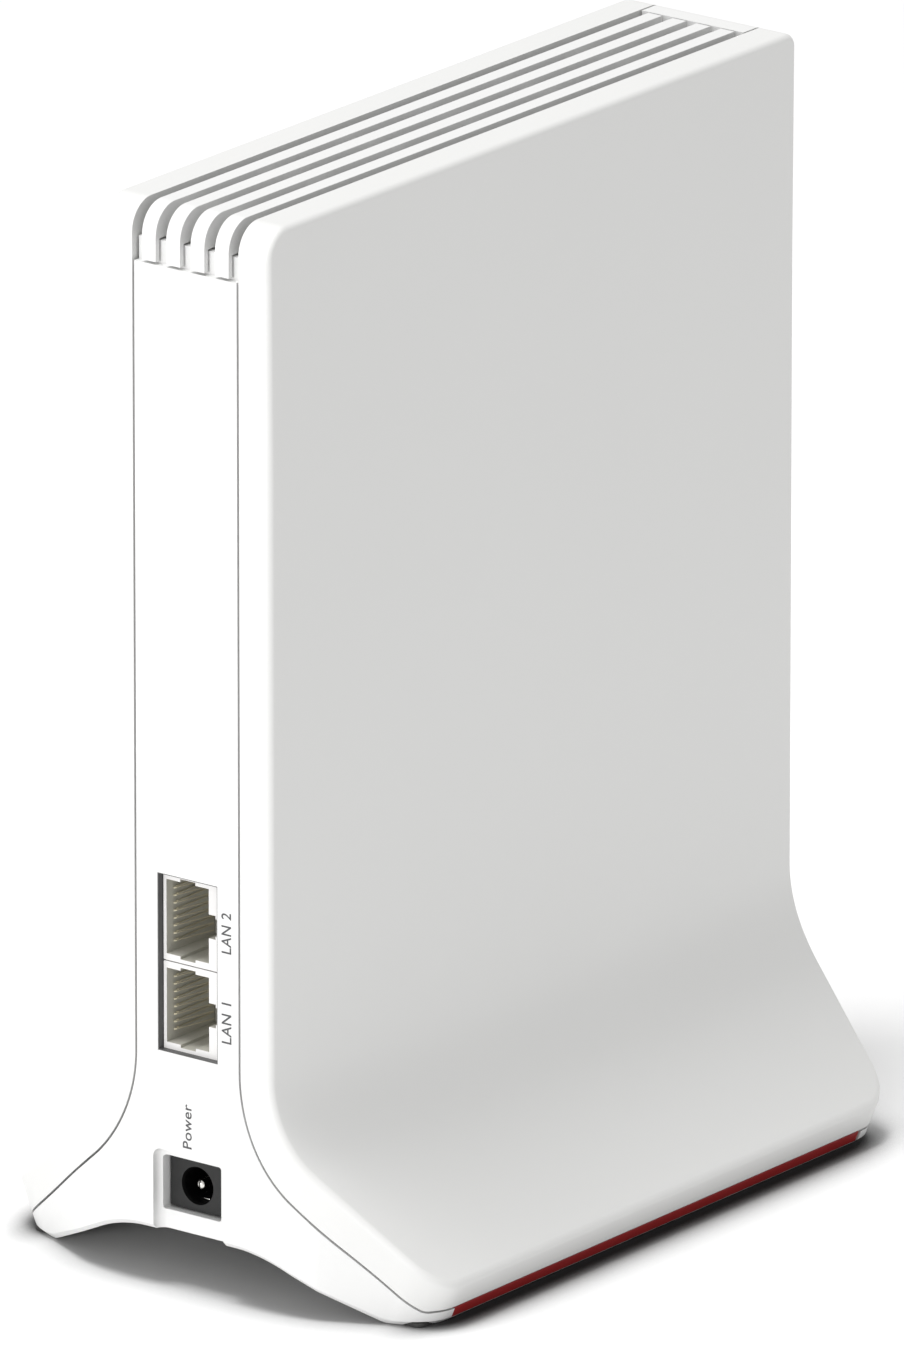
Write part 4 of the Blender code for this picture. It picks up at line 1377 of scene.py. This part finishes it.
    def recess(self) -> list[bpy.types.Object]:
        """The power recess with a coved left wall, and the opening inside it."""
        half, deep = self.form.half_depth, self.recess_in
        top, edge = self.recess_top, self.recess_round
        loops = []
        for share in range(9):
            angle = math.pi / 2 * share / 8
            inset = 1.7 * (1 - math.sin(angle))
            back = half - deep + 1.7 * (1 - math.cos(angle))
            side, high = self.recess_half - inset, top - inset * 0.35
            outline = [(-self.recess_half, 4.0), (side, 4.0)]
            outline += arc((side - edge, high - edge), edge, 0, 90, 5)
            outline += arc((-self.recess_half + edge, high - edge), edge, 90, 180, 5)
            loops.append([(x, back, z) for x, z in outline])
        loops.append([(x, 80.0, z) for x, _, z in loops[-1]])
        opening = rounded((self.power_x - self.power_half, self.power_z - self.power_tall),
                          (self.power_x + self.power_half, self.power_z + self.power_tall), 0.5)
        return [loft("power_recess", loops), prism("power_opening", opening, 55, 80, Axis.Y)]

    def controls(self) -> list[bpy.types.Object]:
        """The cutters of the button's and the light's holes, and the sockets' opening."""
        low, high = self.light_z - 1.4, self.light_z + 1.4
        return [
            prism("button_hole", circle(self.button_radius, (0, self.button_z), 48),
                  -80, -60, Axis.Y),
            prism("light_hole", rounded((-1.4, low), (1.4, high), 0.5), -80, -60, Axis.Y),
            block("lan_opening", (-self.lan_half, 60, self.lan_low),
                  (self.lan_half, 80, self.lan_high)),
        ]

    def tabs(self) -> list[bpy.types.Object]:
        """The tabs that the board is screwed to."""
        inner = self.form.half_depth - self.wall
        made = []
        for number, (y, z) in enumerate(self.board_screws):
            wall = math.copysign(inner + 0.6, y)
            low, high = sorted((wall, y - math.copysign(3.6, y)))
            made.append(block(f"board_tab_{number}", (self.board_x[1] + 0.3, low, z - 4),
                              (self.form.half_belt, high, z + 4)))
        made.append(block("power_pad", (-9.4, inner - 3.4, 10.4), (9.4, inner + 0.8, 25.4)))
        return made

    def base_cuts(self) -> list[bpy.types.Object]:
        """The cutters of the base: grooves, pad recesses, screw holes and vents."""
        made = [prism(f"tab_hole_{i}", circle(1.2, spot, 20), 7, 15, Axis.X)
                for i, spot in enumerate(self.board_screws)]
        for side in Side:
            low, high = sorted((side.value * 40.3, side.value * 50.0))
            made.append(block(f"groove_{side.name}", (low, -self.strip_half, -2),
                              (high, self.strip_half, 3.5)))
            for end in End:
                x, y = side.value * self.foot[0], end.value * self.foot[1]
                label = f"{side.name}_{end.name}"
                pad = rounded((x - 3.5, y - 10.3), (x + 3.5, y + 10.3), 1.8)
                made.append(prism(f"pad_{label}", pad, -2, 0.2, Axis.Z))
                steps = [(2.5, -0.1), (2.5, 3.0), (1.2, 3.0), (1.2, 6.0)]
                made.append(turned(f"hole_{label}", steps, (x, y, 0), Axis.Z, sides=24))
        return made

    def vents(self) -> list[bpy.types.Object]:
        """The cutters of the slots through the arch.

        Returns:
            One cutter with a row of slots for each end.
        """
        made = []
        for end in End:
            y = end.value * 43.0
            slot = prism(f"vents_{end.name}", rounded((-6.9, y - 11), (-5.1, y + 11), 0.85),
                         5, 14, Axis.Z)
            self.repeats.row(slot, 5, (3.0, 0, 0), self.palette.body)
            made.append(slot)
        return made

    def dress(self) -> None:
        """Builds the housing and mounts it."""
        made = carve(self.shell(), self.openings())
        carve(made, self.tabs(), Operation.JOIN)
        carve(made, self.recess() + self.controls())
        carve(made, self.base_cuts())
        carve(made, self.vents())
        mount(polish(made, 28), "router", ["centre_housing"])


@dataclass
class Grille(Assembly):
    """Four ribs that wrap over the rear corner, and the bars under their slots."""

    pitch: float = 4.87
    rib_width: float = 2.8
    count: int = 4
    under: float = 174.6
    panel_top: float = 170.9
    lip_in: float = 1.0
    front: float = -63.4
    bar_width: float = 2.2
    bar_count: int = 6
    bar_top: float = 176.4

    @property
    def reach(self) -> float:
        """Half of the width over all ribs."""
        return self.pitch * (self.count - 1) / 2 + self.rib_width / 2

    @property
    def end(self) -> float:
        """The y of the ribs' inner face at the rear."""
        return self.form.half_depth - self.lip_in

    def rib(self) -> bpy.types.Object:
        """Every rib, repeated from one that follows the top and the rear corner.

        Returns:
            The row of ribs.
        """
        form = self.form
        half, high, turn = form.half_depth, form.height, form.top_round
        inner = half - self.lip_in
        outline: list[Pair] = [(self.front, high)]
        outline += arc((half - turn, high - turn), turn, 90, 0, 18)
        outline += [(half, self.panel_top), (inner, self.panel_top), (inner, self.under),
                    (self.front, self.under)]
        start = -self.pitch * (self.count - 1) / 2
        made = prism("top_ribs", outline, start - self.rib_width / 2,
                     start + self.rib_width / 2, Axis.X, self.palette.body)
        round_edges(made, 0.12, 2, 60)
        return self.repeats.row(made, self.count, (self.pitch, 0, 0), self.palette.body)

    def bars(self) -> bpy.types.Object:
        """The cross bars that tie the ribs together under the slots.

        Returns:
            The row of bars.
        """
        reach, end = self.reach, self.end
        bay = (end - 6 - self.front - 3) / self.bar_count
        first = self.front + 2.4 + bay - self.bar_width
        outline = [(first, self.under), (first + self.bar_width, self.under),
                   (first + self.bar_width, self.bar_top), (first, self.bar_top)]
        made = prism("top_bars", outline, -reach + 0.2, reach - 0.2, Axis.X, self.palette.body)
        round_edges(made, 0.25, 2, 60)
        return self.repeats.row(made, self.bar_count - 1, (0, bay, 0), self.palette.body)

    def dress(self) -> None:
        """Builds ribs, bars and the end webs as one moulding and mounts it."""
        reach, end = self.reach, self.end
        webs = [
            block("front_web", (-reach + 0.2, self.front, self.under),
                  (reach - 0.2, self.front + 2.4, self.bar_top), self.palette.body),
            block("rear_web", (-reach + 0.2, end - 8.6, self.under),
                  (reach - 0.2, end - 6.0, self.bar_top), self.palette.body),
        ]
        made = join("top_grille_ribs", [self.rib(), self.bars(), *webs])
        mount(polish(made, 40), "router", ["top_grille"])


@dataclass
class BaseFittings(Assembly):
    """Accent strips, rubber feet, screws and the blank base label."""

    strip_half: float = 54.0
    strip_high: float = 1.8
    strip_low: float = -0.1
    foot: Pair = (36.2, 50.0)
    pad: Pair = (6.4, 20.0)
    pad_top: float = -0.1
    screw_head: float = 4.4
    screw_core: float = 1.4

    def strip(self, side: Side) -> bpy.types.Object:
        """One coloured strip along the long edge of the base.

        Args:
            side: The half that it lies on.

        Returns:
            The finished strip.
        """
        form = self.form
        face = form.leaning_x(form.half_base, self.strip_high) - 0.15
        fall = (self.strip_high - self.strip_low) * math.tan(form.toe_lean)
        outline = [(40.6, self.strip_low), (face - fall, self.strip_low),
                   (face, self.strip_high), (40.6, self.strip_high)]
        outline = [(side.value * x, z) for x, z in outline]
        made = prism(f"{side.name.lower()}_strip", outline, -self.strip_half, self.strip_half,
                     Axis.Y, self.palette.red)
        return polish(round_edges(made, 0.18, 3, 50))

    def screws(self) -> bpy.types.Object:
        """The four cross-recessed screws in the foot recesses.

        Returns:
            The screws, each turned by its own seeded angle.
        """
        head, core = self.screw_head / 2, self.screw_core / 2
        profile = [(0.2, 1.25), (head * 0.6, 1.3), (head * 0.9, 1.6), (head, 2.0), (head, 2.7),
                   (core, 2.7), (core, 8.2), (core * 0.2, 8.8)]
        made = turned("housing_screws", profile, (0, 0, 0), Axis.Z, self.palette.steel, sides=24)
        slots = [block("slot_a", (-1.3, -0.28, 0.9), (1.3, 0.28, 2.0)),
                 block("slot_b", (-0.28, -1.3, 0.9), (0.28, 1.3, 2.0))]
        carve(made, slots)
        polish(made)
        return self.repeats.corners(made, self.foot, math.pi, 7, self.palette.steel)

    def feet(self) -> bpy.types.Object:
        """The four rubber pads with their round edges and ribbed soles.

        Returns:
            The pads.
        """
        x, y = self.pad[0] / 2, self.pad[1] / 2
        made = prism("rubber_feet", rounded((-x, -y), (x, y), 1.5), -DATUM, self.pad_top, Axis.Z,
                     self.palette.rubber)
        round_edges(made, 0.15, 2, 50)
        groove = prism("sole_groove", rounded((-7.0, -2.0), (-6.4, 0.15 - DATUM), 0.05, 1),
                       -9, 9, Axis.X)
        self.repeats.row(groove, 8, (0, 1.92, 0), self.palette.rubber)
        carve(made, [groove])
        polish(made)
        return self.repeats.corners(made, self.foot, 0.0, 1, self.palette.rubber)

    def base_label(self) -> bpy.types.Object:
        """The blank film label under the arch."""
        high = self.form.arch_z
        made = prism("base_label_film", rounded((-8.0, -24.0), (8.0, 24.0), 1.2), high - 0.5,
                     high - 0.3, Axis.Z, self.palette.label)
        return polish(made)

    def dress(self) -> None:
        """Builds the fittings and mounts them."""
        for side in Side:
            mount(self.strip(side), "router",
                  [f"{side.name.lower()}_accent_strip"])
        corners = [f"{end}_{side}" for end in ("rear", "front") for side in ("left", "right")]
        mount(self.feet(), "router", [f"rubber_foot_{c}" for c in corners])
        mount(self.screws(), "router", [f"housing_screw_{c}" for c in corners])
        mount(self.base_label(), "router", ["base_label"])


@dataclass
class Sockets(Assembly):
    """The two network jacks and the power inlet."""

    lan_z: Pair = (46.9, 61.8)
    lan_half: float = 5.75
    lan_tall: float = 7.35
    lan_in: float = 1.2
    lan_depth: float = 16.0
    lan_x: Pair = (-3.4, 5.15)
    liner_half: float = 6.03
    liner_z: Pair = (69.28, 39.42)
    contact_pitch: float = 1.27
    contact_count: int = 8
    power_x: float = 0.7
    power_z: float = 16.6
    power_in: float = 3.33
    power_half: float = 5.45
    power_tall: float = 4.3
    barrel: float = 6.4

    def jack(self, number: int, z: float) -> bpy.types.Object:
        """One network jack with its stepped latch notch.

        Args:
            number: The jack's number.
            z: The height of its middle.

        Returns:
            The jack, pale outside and dark inside.
        """
        face = self.form.half_depth - self.lan_in
        outline = rounded((-self.lan_half, z - self.lan_tall),
                          (self.lan_half, z + self.lan_tall), 0.15, 2)
        made = prism(f"network_jack_{number}", outline, face - self.lan_depth, face, Axis.Y,
                     self.palette.jack_face, self.palette.jack)
        left, right = self.lan_x
        upper = [(right, 6.25), (2.35, 6.25), (2.35, 6.75), (-0.7, 6.75), (-0.7, 6.25),
                 (left, 6.25), (left, 2.0), (-4.75, 2.0), (-4.75, 1.45), (-5.0, 1.45)]
        mouth = upper + [(x, -offset) for x, offset in reversed(upper)]
        mouth = [(x, z + offset) for x, offset in mouth]
        carve(made, [prism("mouth", mouth, face - 12.5, face + 9, Axis.Y)])
        edge = (face - 0.02) * MM
        low_x, high_x = (-self.lan_half + 0.1) * MM, (self.lan_half - 0.1) * MM
        for panel in made.data.polygons:
            spot, facing = panel.center, panel.normal
            inside = low_x < spot.x < high_x and spot.y < edge
            inside = inside and abs(spot.z - place(0, 0, z).z) < (self.lan_tall - 0.1) * MM
            at_back = facing.y < -0.5 and spot.y < (face - self.lan_depth + 0.1) * MM
            panel.material_index = 1 if inside and not at_back else 0
        return polish(made)

    def wire(self, name: str, path: Sequence[Pair], low: float, thick: Pair,
             finish: bpy.types.Material) -> bpy.types.Object:
        """A row of flat wires bent along one path.

        Args:
            name: The row's name.
            path: The wire's way, as (x, distance in front of the jack's face).
            low: The height of the lowest wire.
            thick: The wire's thickness and its height.
            finish: The wires' material.

        Returns:
            The row of wires.
        """
        face = self.form.half_depth - self.lan_in
        half = thick[1] / 2
        loops: list[list[Triple]] = []
        for i, (x, deep) in enumerate(path):
            before, after = path[max(i - 1, 0)], path[min(i + 1, len(path) - 1)]
            along = Vector((after[0] - before[0], after[1] - before[1])).normalized()
            off = Vector((-along.y, along.x)) * thick[0] / 2
            loops.append([
                (x - off.x, face + deep - off.y, low - half),
                (x + off.x, face + deep + off.y, low - half),
                (x + off.x, face + deep + off.y, low + half),
                (x - off.x, face + deep - off.y, low + half),
            ])
        made = loft(name, loops, finish)
        polish(round_edges(made, 0.04, 1, 50))
        return self.repeats.row(made, self.contact_count, (0, 0, self.contact_pitch), finish)

    def contacts(self, number: int, z: float) -> bpy.types.Object:
        """The eight springs of one jack, with a painted highlight on their bends: a brighter copy
        of the gold.

        Args:
            number: The jack's number.
            z: The height of its middle.

        Returns:
            The row of springs.
        """
        low = z - self.contact_pitch * (self.contact_count - 1) / 2
        path = [(4.95, -11.9), (4.95, -3.3), (4.9, -2.8), (5.0, -2.4), (4.85, -2.15),
                (4.8, -1.9), (4.95, -1.7), (4.7, -1.4), (4.5, -1.9), (4.3, -2.9),
                (3.1, -8.4), (2.9, -9.3)]
        # These bends take the brighter gold as a painted highlight.
        bends = ([(4.93, -1.75), (4.7, -1.38), (4.53, -1.8)],
                 [(4.92, -2.75), (5.0, -2.4), (4.87, -2.17)])
        rows = [self.wire(f"springs_{number}", path, low, (0.14, 0.16), self.palette.gold)]
        rows += [self.wire(f"bends_{number}_{i}", bend, low, (0.2, 0.24), self.palette.tip)
                 for i, bend in enumerate(bends)]
        return join(f"contact_springs_{number}", rows)

    def shadow_liner(self) -> bpy.types.Object:
        """A thin near-black sheet in the sockets' opening around both jacks, put there as painted
        shade on the opening's walls.
        """
        high, low = self.liner_z
        outer, inner = self.liner_half, self.liner_half - 0.14
        front, back = self.form.half_depth - 0.1, self.form.half_depth - 3.0
        outline = rounded((-outer, low), (outer, high), 0.1, 2)
        made = prism("socket_shield_liner", outline, back, front, Axis.Y, self.palette.shadow_sheet)
        hole = rounded((-inner, low + 0.14), (inner, high - 0.14), 0.1, 2)
        return polish(carve(made, [prism("hole", hole, back - 2, front + 2, Axis.Y)]))

    def inlet(self) -> bpy.types.Object:
        """The black body of the power inlet with its bore, whose walls take a near-black copy of
        the black as painted shade.
        """
        face = self.form.half_depth - self.power_in
        spot = (self.power_x, self.power_z)
        outline = rounded((spot[0] - self.power_half, spot[1] - self.power_tall),
                          (spot[0] + self.power_half, spot[1] + self.power_tall), 0.3, 3)
        made = prism("power_inlet_body", outline, face - 14, face, Axis.Y, self.palette.black,
                     self.palette.bore)
        radius = self.barrel / 2
        profile = [(radius - 0.25, face - 10), (radius - 0.25, face - 0.5), (radius, face - 0.15),
                   (radius, face + 9)]
        center = (spot[0], 0.0, spot[1])
        carve(made, [turned("bore", profile, center, Axis.Y, sides=48)])
        # The bore's inner walls take the near-black copy as painted shade.
        middle = place(spot[0], 0, spot[1])
        for panel in made.data.polygons:
            away = math.hypot(panel.center.x - middle.x, panel.center.z - middle.z)
            inner = away < (radius + 0.05) * MM and panel.center.y < (face - 0.05) * MM
            panel.material_index = int(inner and panel.center.y > (face - 13.9) * MM)
        return polish(made)

    def pin(self) -> bpy.types.Object:
        """The inlet's centre pin with its split, domed tip."""
        face = self.form.half_depth - self.power_in
        dome = [(0.85 * math.cos(math.radians(a)), face - 1.1 + 0.6 * math.sin(math.radians(a)))
                for a in range(0, 91, 15)]
        dome[-1] = (0.05, dome[-1][1])
        profile = [(1.2, face - 9.6), (1.2, face - 9.0), (0.85, face - 8.8), *dome]
        made = turned("power_inlet_pin", profile, (self.power_x, 0, self.power_z), Axis.Y,
                      self.palette.nickel, sides=28)
        slot = block("split", (self.power_x - 0.12, face - 4.2, self.power_z - 2),
                     (self.power_x + 0.12, face + 2, self.power_z + 2))
        return polish(carve(made, [slot]))

    def spring(self) -> bpy.types.Object:
        """The inlet's flat side spring."""
        face = self.form.half_depth - self.power_in
        low = self.power_z - 2.85
        outline = [(face - 9.6, low), (face - 2.0, low), (face - 2.0, low + 0.25),
                   (face - 3.4, low + 0.75), (face - 4.6, low + 0.85), (face - 9.6, low + 0.3)]
        made = prism("power_inlet_spring", outline, self.power_x - 0.8, self.power_x + 0.8,
                     Axis.X, self.palette.nickel)
        return polish(round_edges(made, 0.06, 2, 50))

    def dress(self) -> None:
        """Builds the sockets and mounts them."""
        for number, z in enumerate(self.lan_z, 1):
            mount(self.jack(number, z), "router", [f"lan_jack_{number}"])
            mount(self.contacts(number, z), "router",
                  [f"lan_contacts_{number}"])
        # The near-black sheet in the sockets' opening is painted shade on its walls.
        mount(self.shadow_liner(), "router")
        mount(self.inlet(), "router", ["dc_jack_body"])
        mount(self.pin(), "router", ["dc_jack_pin"])
        mount(self.spring(), "router", ["dc_jack_spring"])


@dataclass
class Lettering(Assembly):
    """Plain function words beside the sockets, as thin printed film."""

    film: float = 0.02
    weight: float = 0.008
    spacing: float = 1.06
    words: tuple[tuple[str, str, float, float, float, float], ...] = (
        ("word_lan_2", "LAN 2", -8.8, -6.87, 58.45, 65.25),
        ("word_lan_1", "LAN 1", -8.8, -6.87, 43.3, 50.1),
        ("word_power", "Power", -0.7, 1.06, 23.95, 31.4),
    )

    def word(self, name: str, text: str, base: float, top: float, low: float,
             high: float) -> bpy.types.Object:
        """One word, read upwards on the socket face.

        Args:
            name: The piece's name.
            text: The word.
            base: The x of its baseline.
            top: The x of its capitals' tops.
            low: The z of its first letter.
            high: The z of its last letter.

        Returns:
            The word as a thin mesh on the face.
        """
        curve = bpy.data.curves.new(name, "FONT")
        curve.body = text
        curve.offset = self.weight
        curve.space_character = self.spacing
        carrier = add(name + "_text", curve)
        graph = bpy.context.evaluated_depsgraph_get()
        mesh = bpy.data.meshes.new_from_object(carrier.evaluated_get(graph), depsgraph=graph)
        bpy.data.objects.remove(carrier)
        bpy.data.curves.remove(curve)
        xs = [v.co.x for v in mesh.vertices]
        ys = [v.co.y for v in mesh.vertices]
        wide, tall = max(xs) - min(xs), max(ys)
        face = self.form.half_depth
        shape = bmesh.new()
        shape.from_mesh(mesh)
        bmesh.ops.remove_doubles(shape, verts=shape.verts, dist=1e-5)
        for vert in shape.verts:
            along = (vert.co.x - min(xs)) / wide
            rise = vert.co.y / tall
            vert.co = place(base + (top - base) * rise, face + self.film,
                            low + (high - low) * along)
        grown = bmesh.ops.extrude_face_region(shape, geom=list(shape.faces))
        for item in grown["geom"]:
            if isinstance(item, bmesh.types.BMVert):
                item.co.y = (face - 0.01) * MM
        bmesh.ops.recalc_face_normals(shape, faces=shape.faces)
        shape.to_mesh(mesh)
        shape.free()
        mesh.materials.clear()
        mesh.materials.append(self.palette.ink)
        mesh.name = name
        return add(name, mesh)

    def dress(self) -> None:
        """Prints every word."""
        for word in self.words:
            mount(self.word(*word), "router")


@dataclass
class FrontControls(Assembly):
    """The pairing button, its plunger and the light guide."""

    button_z: float = 32.0
    button_radius: float = 4.5
    light_z: float = 44.0
    cap_in: float = 0.2

    def button(self) -> bpy.types.Object:
        """The round button with a dished face and its stem."""
        front = -self.form.half_depth + self.cap_in
        radius = self.button_radius
        dish = [(0.05, 0.32), (1.2, 0.30), (2.4, 0.2), (3.2, 0.06), (radius - 0.8, 0.0)]
        edge = [(radius - 0.5 + 0.5 * math.sin(math.radians(a)),
                 0.5 - 0.5 * math.cos(math.radians(a))) for a in range(0, 91, 15)]
        profile = dish + edge + [(radius, 3.0), (radius + 1.2, 3.0), (radius + 1.2, 3.8),
                                 (1.6, 3.8), (1.6, 7.3)]
        made = turned("pairing_button", profile, (0, front, self.button_z), Axis.Y,
                      self.palette.body, sides=64)
        return polish(made, 30)

    def plunger(self) -> bpy.types.Object:
        """The switch's plunger."""
        front = -self.form.half_depth + self.cap_in + 7.6
        profile = [(1.1, 0.0), (1.3, 0.08), (1.4, 0.3), (1.4, 4.2)]
        made = turned("switch_plunger_pin", profile, (0, front, self.button_z), Axis.Y,
                      self.palette.switch, sides=32)
        return polish(made)

    def guide(self) -> bpy.types.Object:
        """The clear guide from the light to the front face."""
        front = -self.form.half_depth + self.cap_in
        outline = [(-1.1, front), (1.1, front), (1.1, -62.4), (4.3, -58.2), (4.3, -56.0),
                   (3.4, -56.0), (-1.1, -61.6)]
        made = prism("light_guide_bar", outline, self.light_z - 1.1, self.light_z + 1.1,
                     Axis.Z, self.palette.clear)
        return polish(round_edges(made, 0.15, 3, 30))

    def dress(self) -> None:
        """Builds the controls and mounts each on its own body."""
        mount(self.button(), "button", ["pair_button"])
        mount(self.plunger(), "plunger", ["switch_plunger"])
        mount(self.guide(), "router", ["light_guide"])


@dataclass
class Electronics(Assembly):
    """The board with its screws, and the fins of both heatsinks."""

    kept: dict[str, str] = field(default_factory=lambda: {
        "main_board": "board", "main_processor": "chip", "memory_chip": "chip",
        "flash_chip": "chip", "low_band_radio": "chip", "high_band_radio": "chip",
        "lan_transformer_1": "chip", "lan_transformer_2": "chip",
        "shield_can_low_band": "tin", "shield_can_high_band": "tin",
        "capacitor_1": "aluminium", "capacitor_2": "aluminium",
        "thermal_pad_front": "pad", "thermal_pad_back": "pad",
        "power_inductor": "ferrite", "board_screw_1": "steel", "board_screw_2": "steel",
        "board_screw_3": "steel", "board_screw_4": "steel",
        "pair_switch_body": "switch", "status_led": "resin",
        "low_band_antenna_front": "laminate", "low_band_antenna_rear": "laminate",
        "high_band_antenna_front": "laminate", "high_band_antenna_rear": "laminate",
        "low_band_lead_front": "jacket", "low_band_lead_rear": "jacket",
        "high_band_lead_front": "jacket", "high_band_lead_rear": "jacket",
    })

    def heatsink(self, node: str, plate: Pair, tip: float, span: Pair, tall: Pair, fins: int,
                 thick: float) -> bpy.types.Object:
        """A plate with a row of fins.

        Args:
            node: The frame's node that it stands for.
            plate: The plate's low and high x.
            tip: The x of the fins' tips.
            span: The plate's low and high y.
            tall: The plate's low and high z.
            fins: How many fins.
            thick: One fin's thickness.

        Returns:
            The finished heatsink.
        """
        metal = self.palette.aluminium
        base = block(node + "_plate", (plate[0], span[0], tall[0]), (plate[1], span[1], tall[1]),
                     metal)
        root = (plate[0] + plate[1]) / 2
        low, high = sorted((root, tip))
        fin = block(node + "_fins", (low, span[0], tall[0]), (high, span[0] + thick, tall[1]),
                    metal)
        round_edges(fin, 0.2, 2, 50)
        pitch = (span[1] - span[0] - thick) / (fins - 1)
        self.repeats.row(fin, fins, (0, pitch, 0), metal)
        made = join(node + "_body", [round_edges(base, 0.15, 2, 50), fin])
        return polish(made)

    def dress(self) -> None:
        """Gives the kept nodes their finishes and builds the heatsinks."""
        for node, finish in self.kept.items():
            material = getattr(self.palette, finish)
            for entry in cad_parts[node].material_slots:
                entry.material = material
            LOG.info("%s keeps its shape with finish %s", node, material.name)
        front = self.heatsink("finned_heatsink", (1.0, 3.0), -9.5, (-13.0, 27.0),
                              (74.0, 110.0), 8, 1.4)
        mount(front, "router", ["finned_heatsink"])
        back = self.heatsink("back_heatsink", (9.4, 11.0), 13.6, (-34.0, 42.0),
                             (66.0, 126.0), 12, 1.6)
        mount(back, "router", ["back_heatsink"])


# ---------------------------------------------------------------------- studio

@dataclass
class Studio:
    """A pale floor, soft lights and the camera."""

    azimuth: float = 37.445
    elevation: float = 18.134
    aim: Triple = (0.0, 1.0, 85.0)
    distance: float = 4218.0
    shift_right: float = 0.470
    shift_up: float = 0.670
    lens: float = 699.3
    floor_size: float = 6.0
    sky: float = 0.62
    lamps: tuple[tuple[str, Triple, float, float], ...] = (
        ("key", (0.1, 1.5, 0.22), 0.3, 8.6),
        ("over", (0.15, 0.3, 1.8), 0.5, 19.0),
    )

    def camera(self) -> None:
        """Places the long-lens camera that looks at the socket face's corner."""
        turn, tilt = math.radians(self.azimuth), math.radians(self.elevation)
        back = Vector((-math.sin(turn) * math.cos(tilt), math.cos(turn) * math.cos(tilt),
                       math.sin(tilt)))
        right = Vector((-math.cos(turn), -math.sin(turn), 0.0))
        up = back.cross(right)
        data = bpy.data.cameras.new("camera")
        data.sensor_width = 36.0
        data.lens = self.lens
        data.clip_start, data.clip_end = 0.1, 60.0
        made = add("camera", data)
        spot = place(*self.aim) + back * self.distance * MM
        spot += (right * self.shift_right + up * self.shift_up) * MM
        axes = Matrix((right, up, back)).transposed()
        made.matrix_world = Matrix.Translation(spot) @ axes.to_4x4()
        bpy.context.scene.camera = made

    def floor(self, effects: Effects) -> None:
        """The seamless pale floor, with a painted contact shadow round the router."""
        half = self.floor_size / 2 / MM
        low = -DATUM
        corners = [(-half, -half, low), (half, -half, low), (half, half, low),
                   (-half, half, low)]
        paper = PaintedShadowPaper("studio_paper_painted_shadow", (0.98, 0.98, 0.98), (0.97, 0.97, 0.97), 0.9,
                            drift_scale=3.0, shine=0.0).make(effects)
        made = solid("studio_floor", corners, [[0, 1, 2, 3]], paper)
        if made.data.polygons[0].normal.z < 0:
            made.data.flip_normals()

    def lamp(self, name: str, spot: Triple, size: float, power: float,
             target: Triple = (0.0, 0.0, 0.09)) -> None:
        """One soft square lamp.

        Args:
            name: The lamp's name.
            spot: Where it hangs, in metres.
            size: The length of its side, in metres.
            power: Its power in watts.
            target: The point that it faces, in metres.
        """
        data = bpy.data.lights.new(name, "AREA")
        data.shape = "SQUARE"
        data.size = size
        data.energy = power
        made = add(name, data)
        made.location = Vector(spot)
        aim = Vector(target) - Vector(spot)
        made.rotation_mode = "QUATERNION"
        made.rotation_quaternion = aim.to_track_quat("-Z", "Y")

    def light(self) -> None:
        """The sky's even light and the lamps."""
        world = bpy.data.worlds.new("studio_sky")
        world.use_nodes = True
        sky = world.node_tree.nodes["Background"]
        sky.inputs["Color"].default_value = (1.0, 1.0, 1.0, 1.0)
        sky.inputs["Strength"].default_value = self.sky
        bpy.context.scene.world = world
        for lamp in self.lamps:
            self.lamp(*lamp)
        shown = bpy.context.scene.view_settings
        shown.view_transform = "Standard"
        shown.look = "None"
        shown.exposure = 0.0
        shown.gamma = 1.0

    def dress(self, effects: Effects) -> None:
        """Sets up camera, floor and lights."""
        self.camera()
        self.floor(effects)
        self.light()
        LOG.info("studio ready")


def main() -> None:
    """Builds the sub-assemblies in order and dresses them."""
    logging.basicConfig(level=logging.INFO, format="%(name)s: %(message)s")
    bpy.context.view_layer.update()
    effects = Effects()
    palette, repeats, form = Palette(effects), Repeats(), Form()
    Studio().dress(effects)
    for assembly in (Covers, Housing, Grille, BaseFittings, Sockets, Lettering, FrontControls,
                     Electronics):
        assembly(form, palette, repeats).dress()


if __name__ == "__main__":
    main()
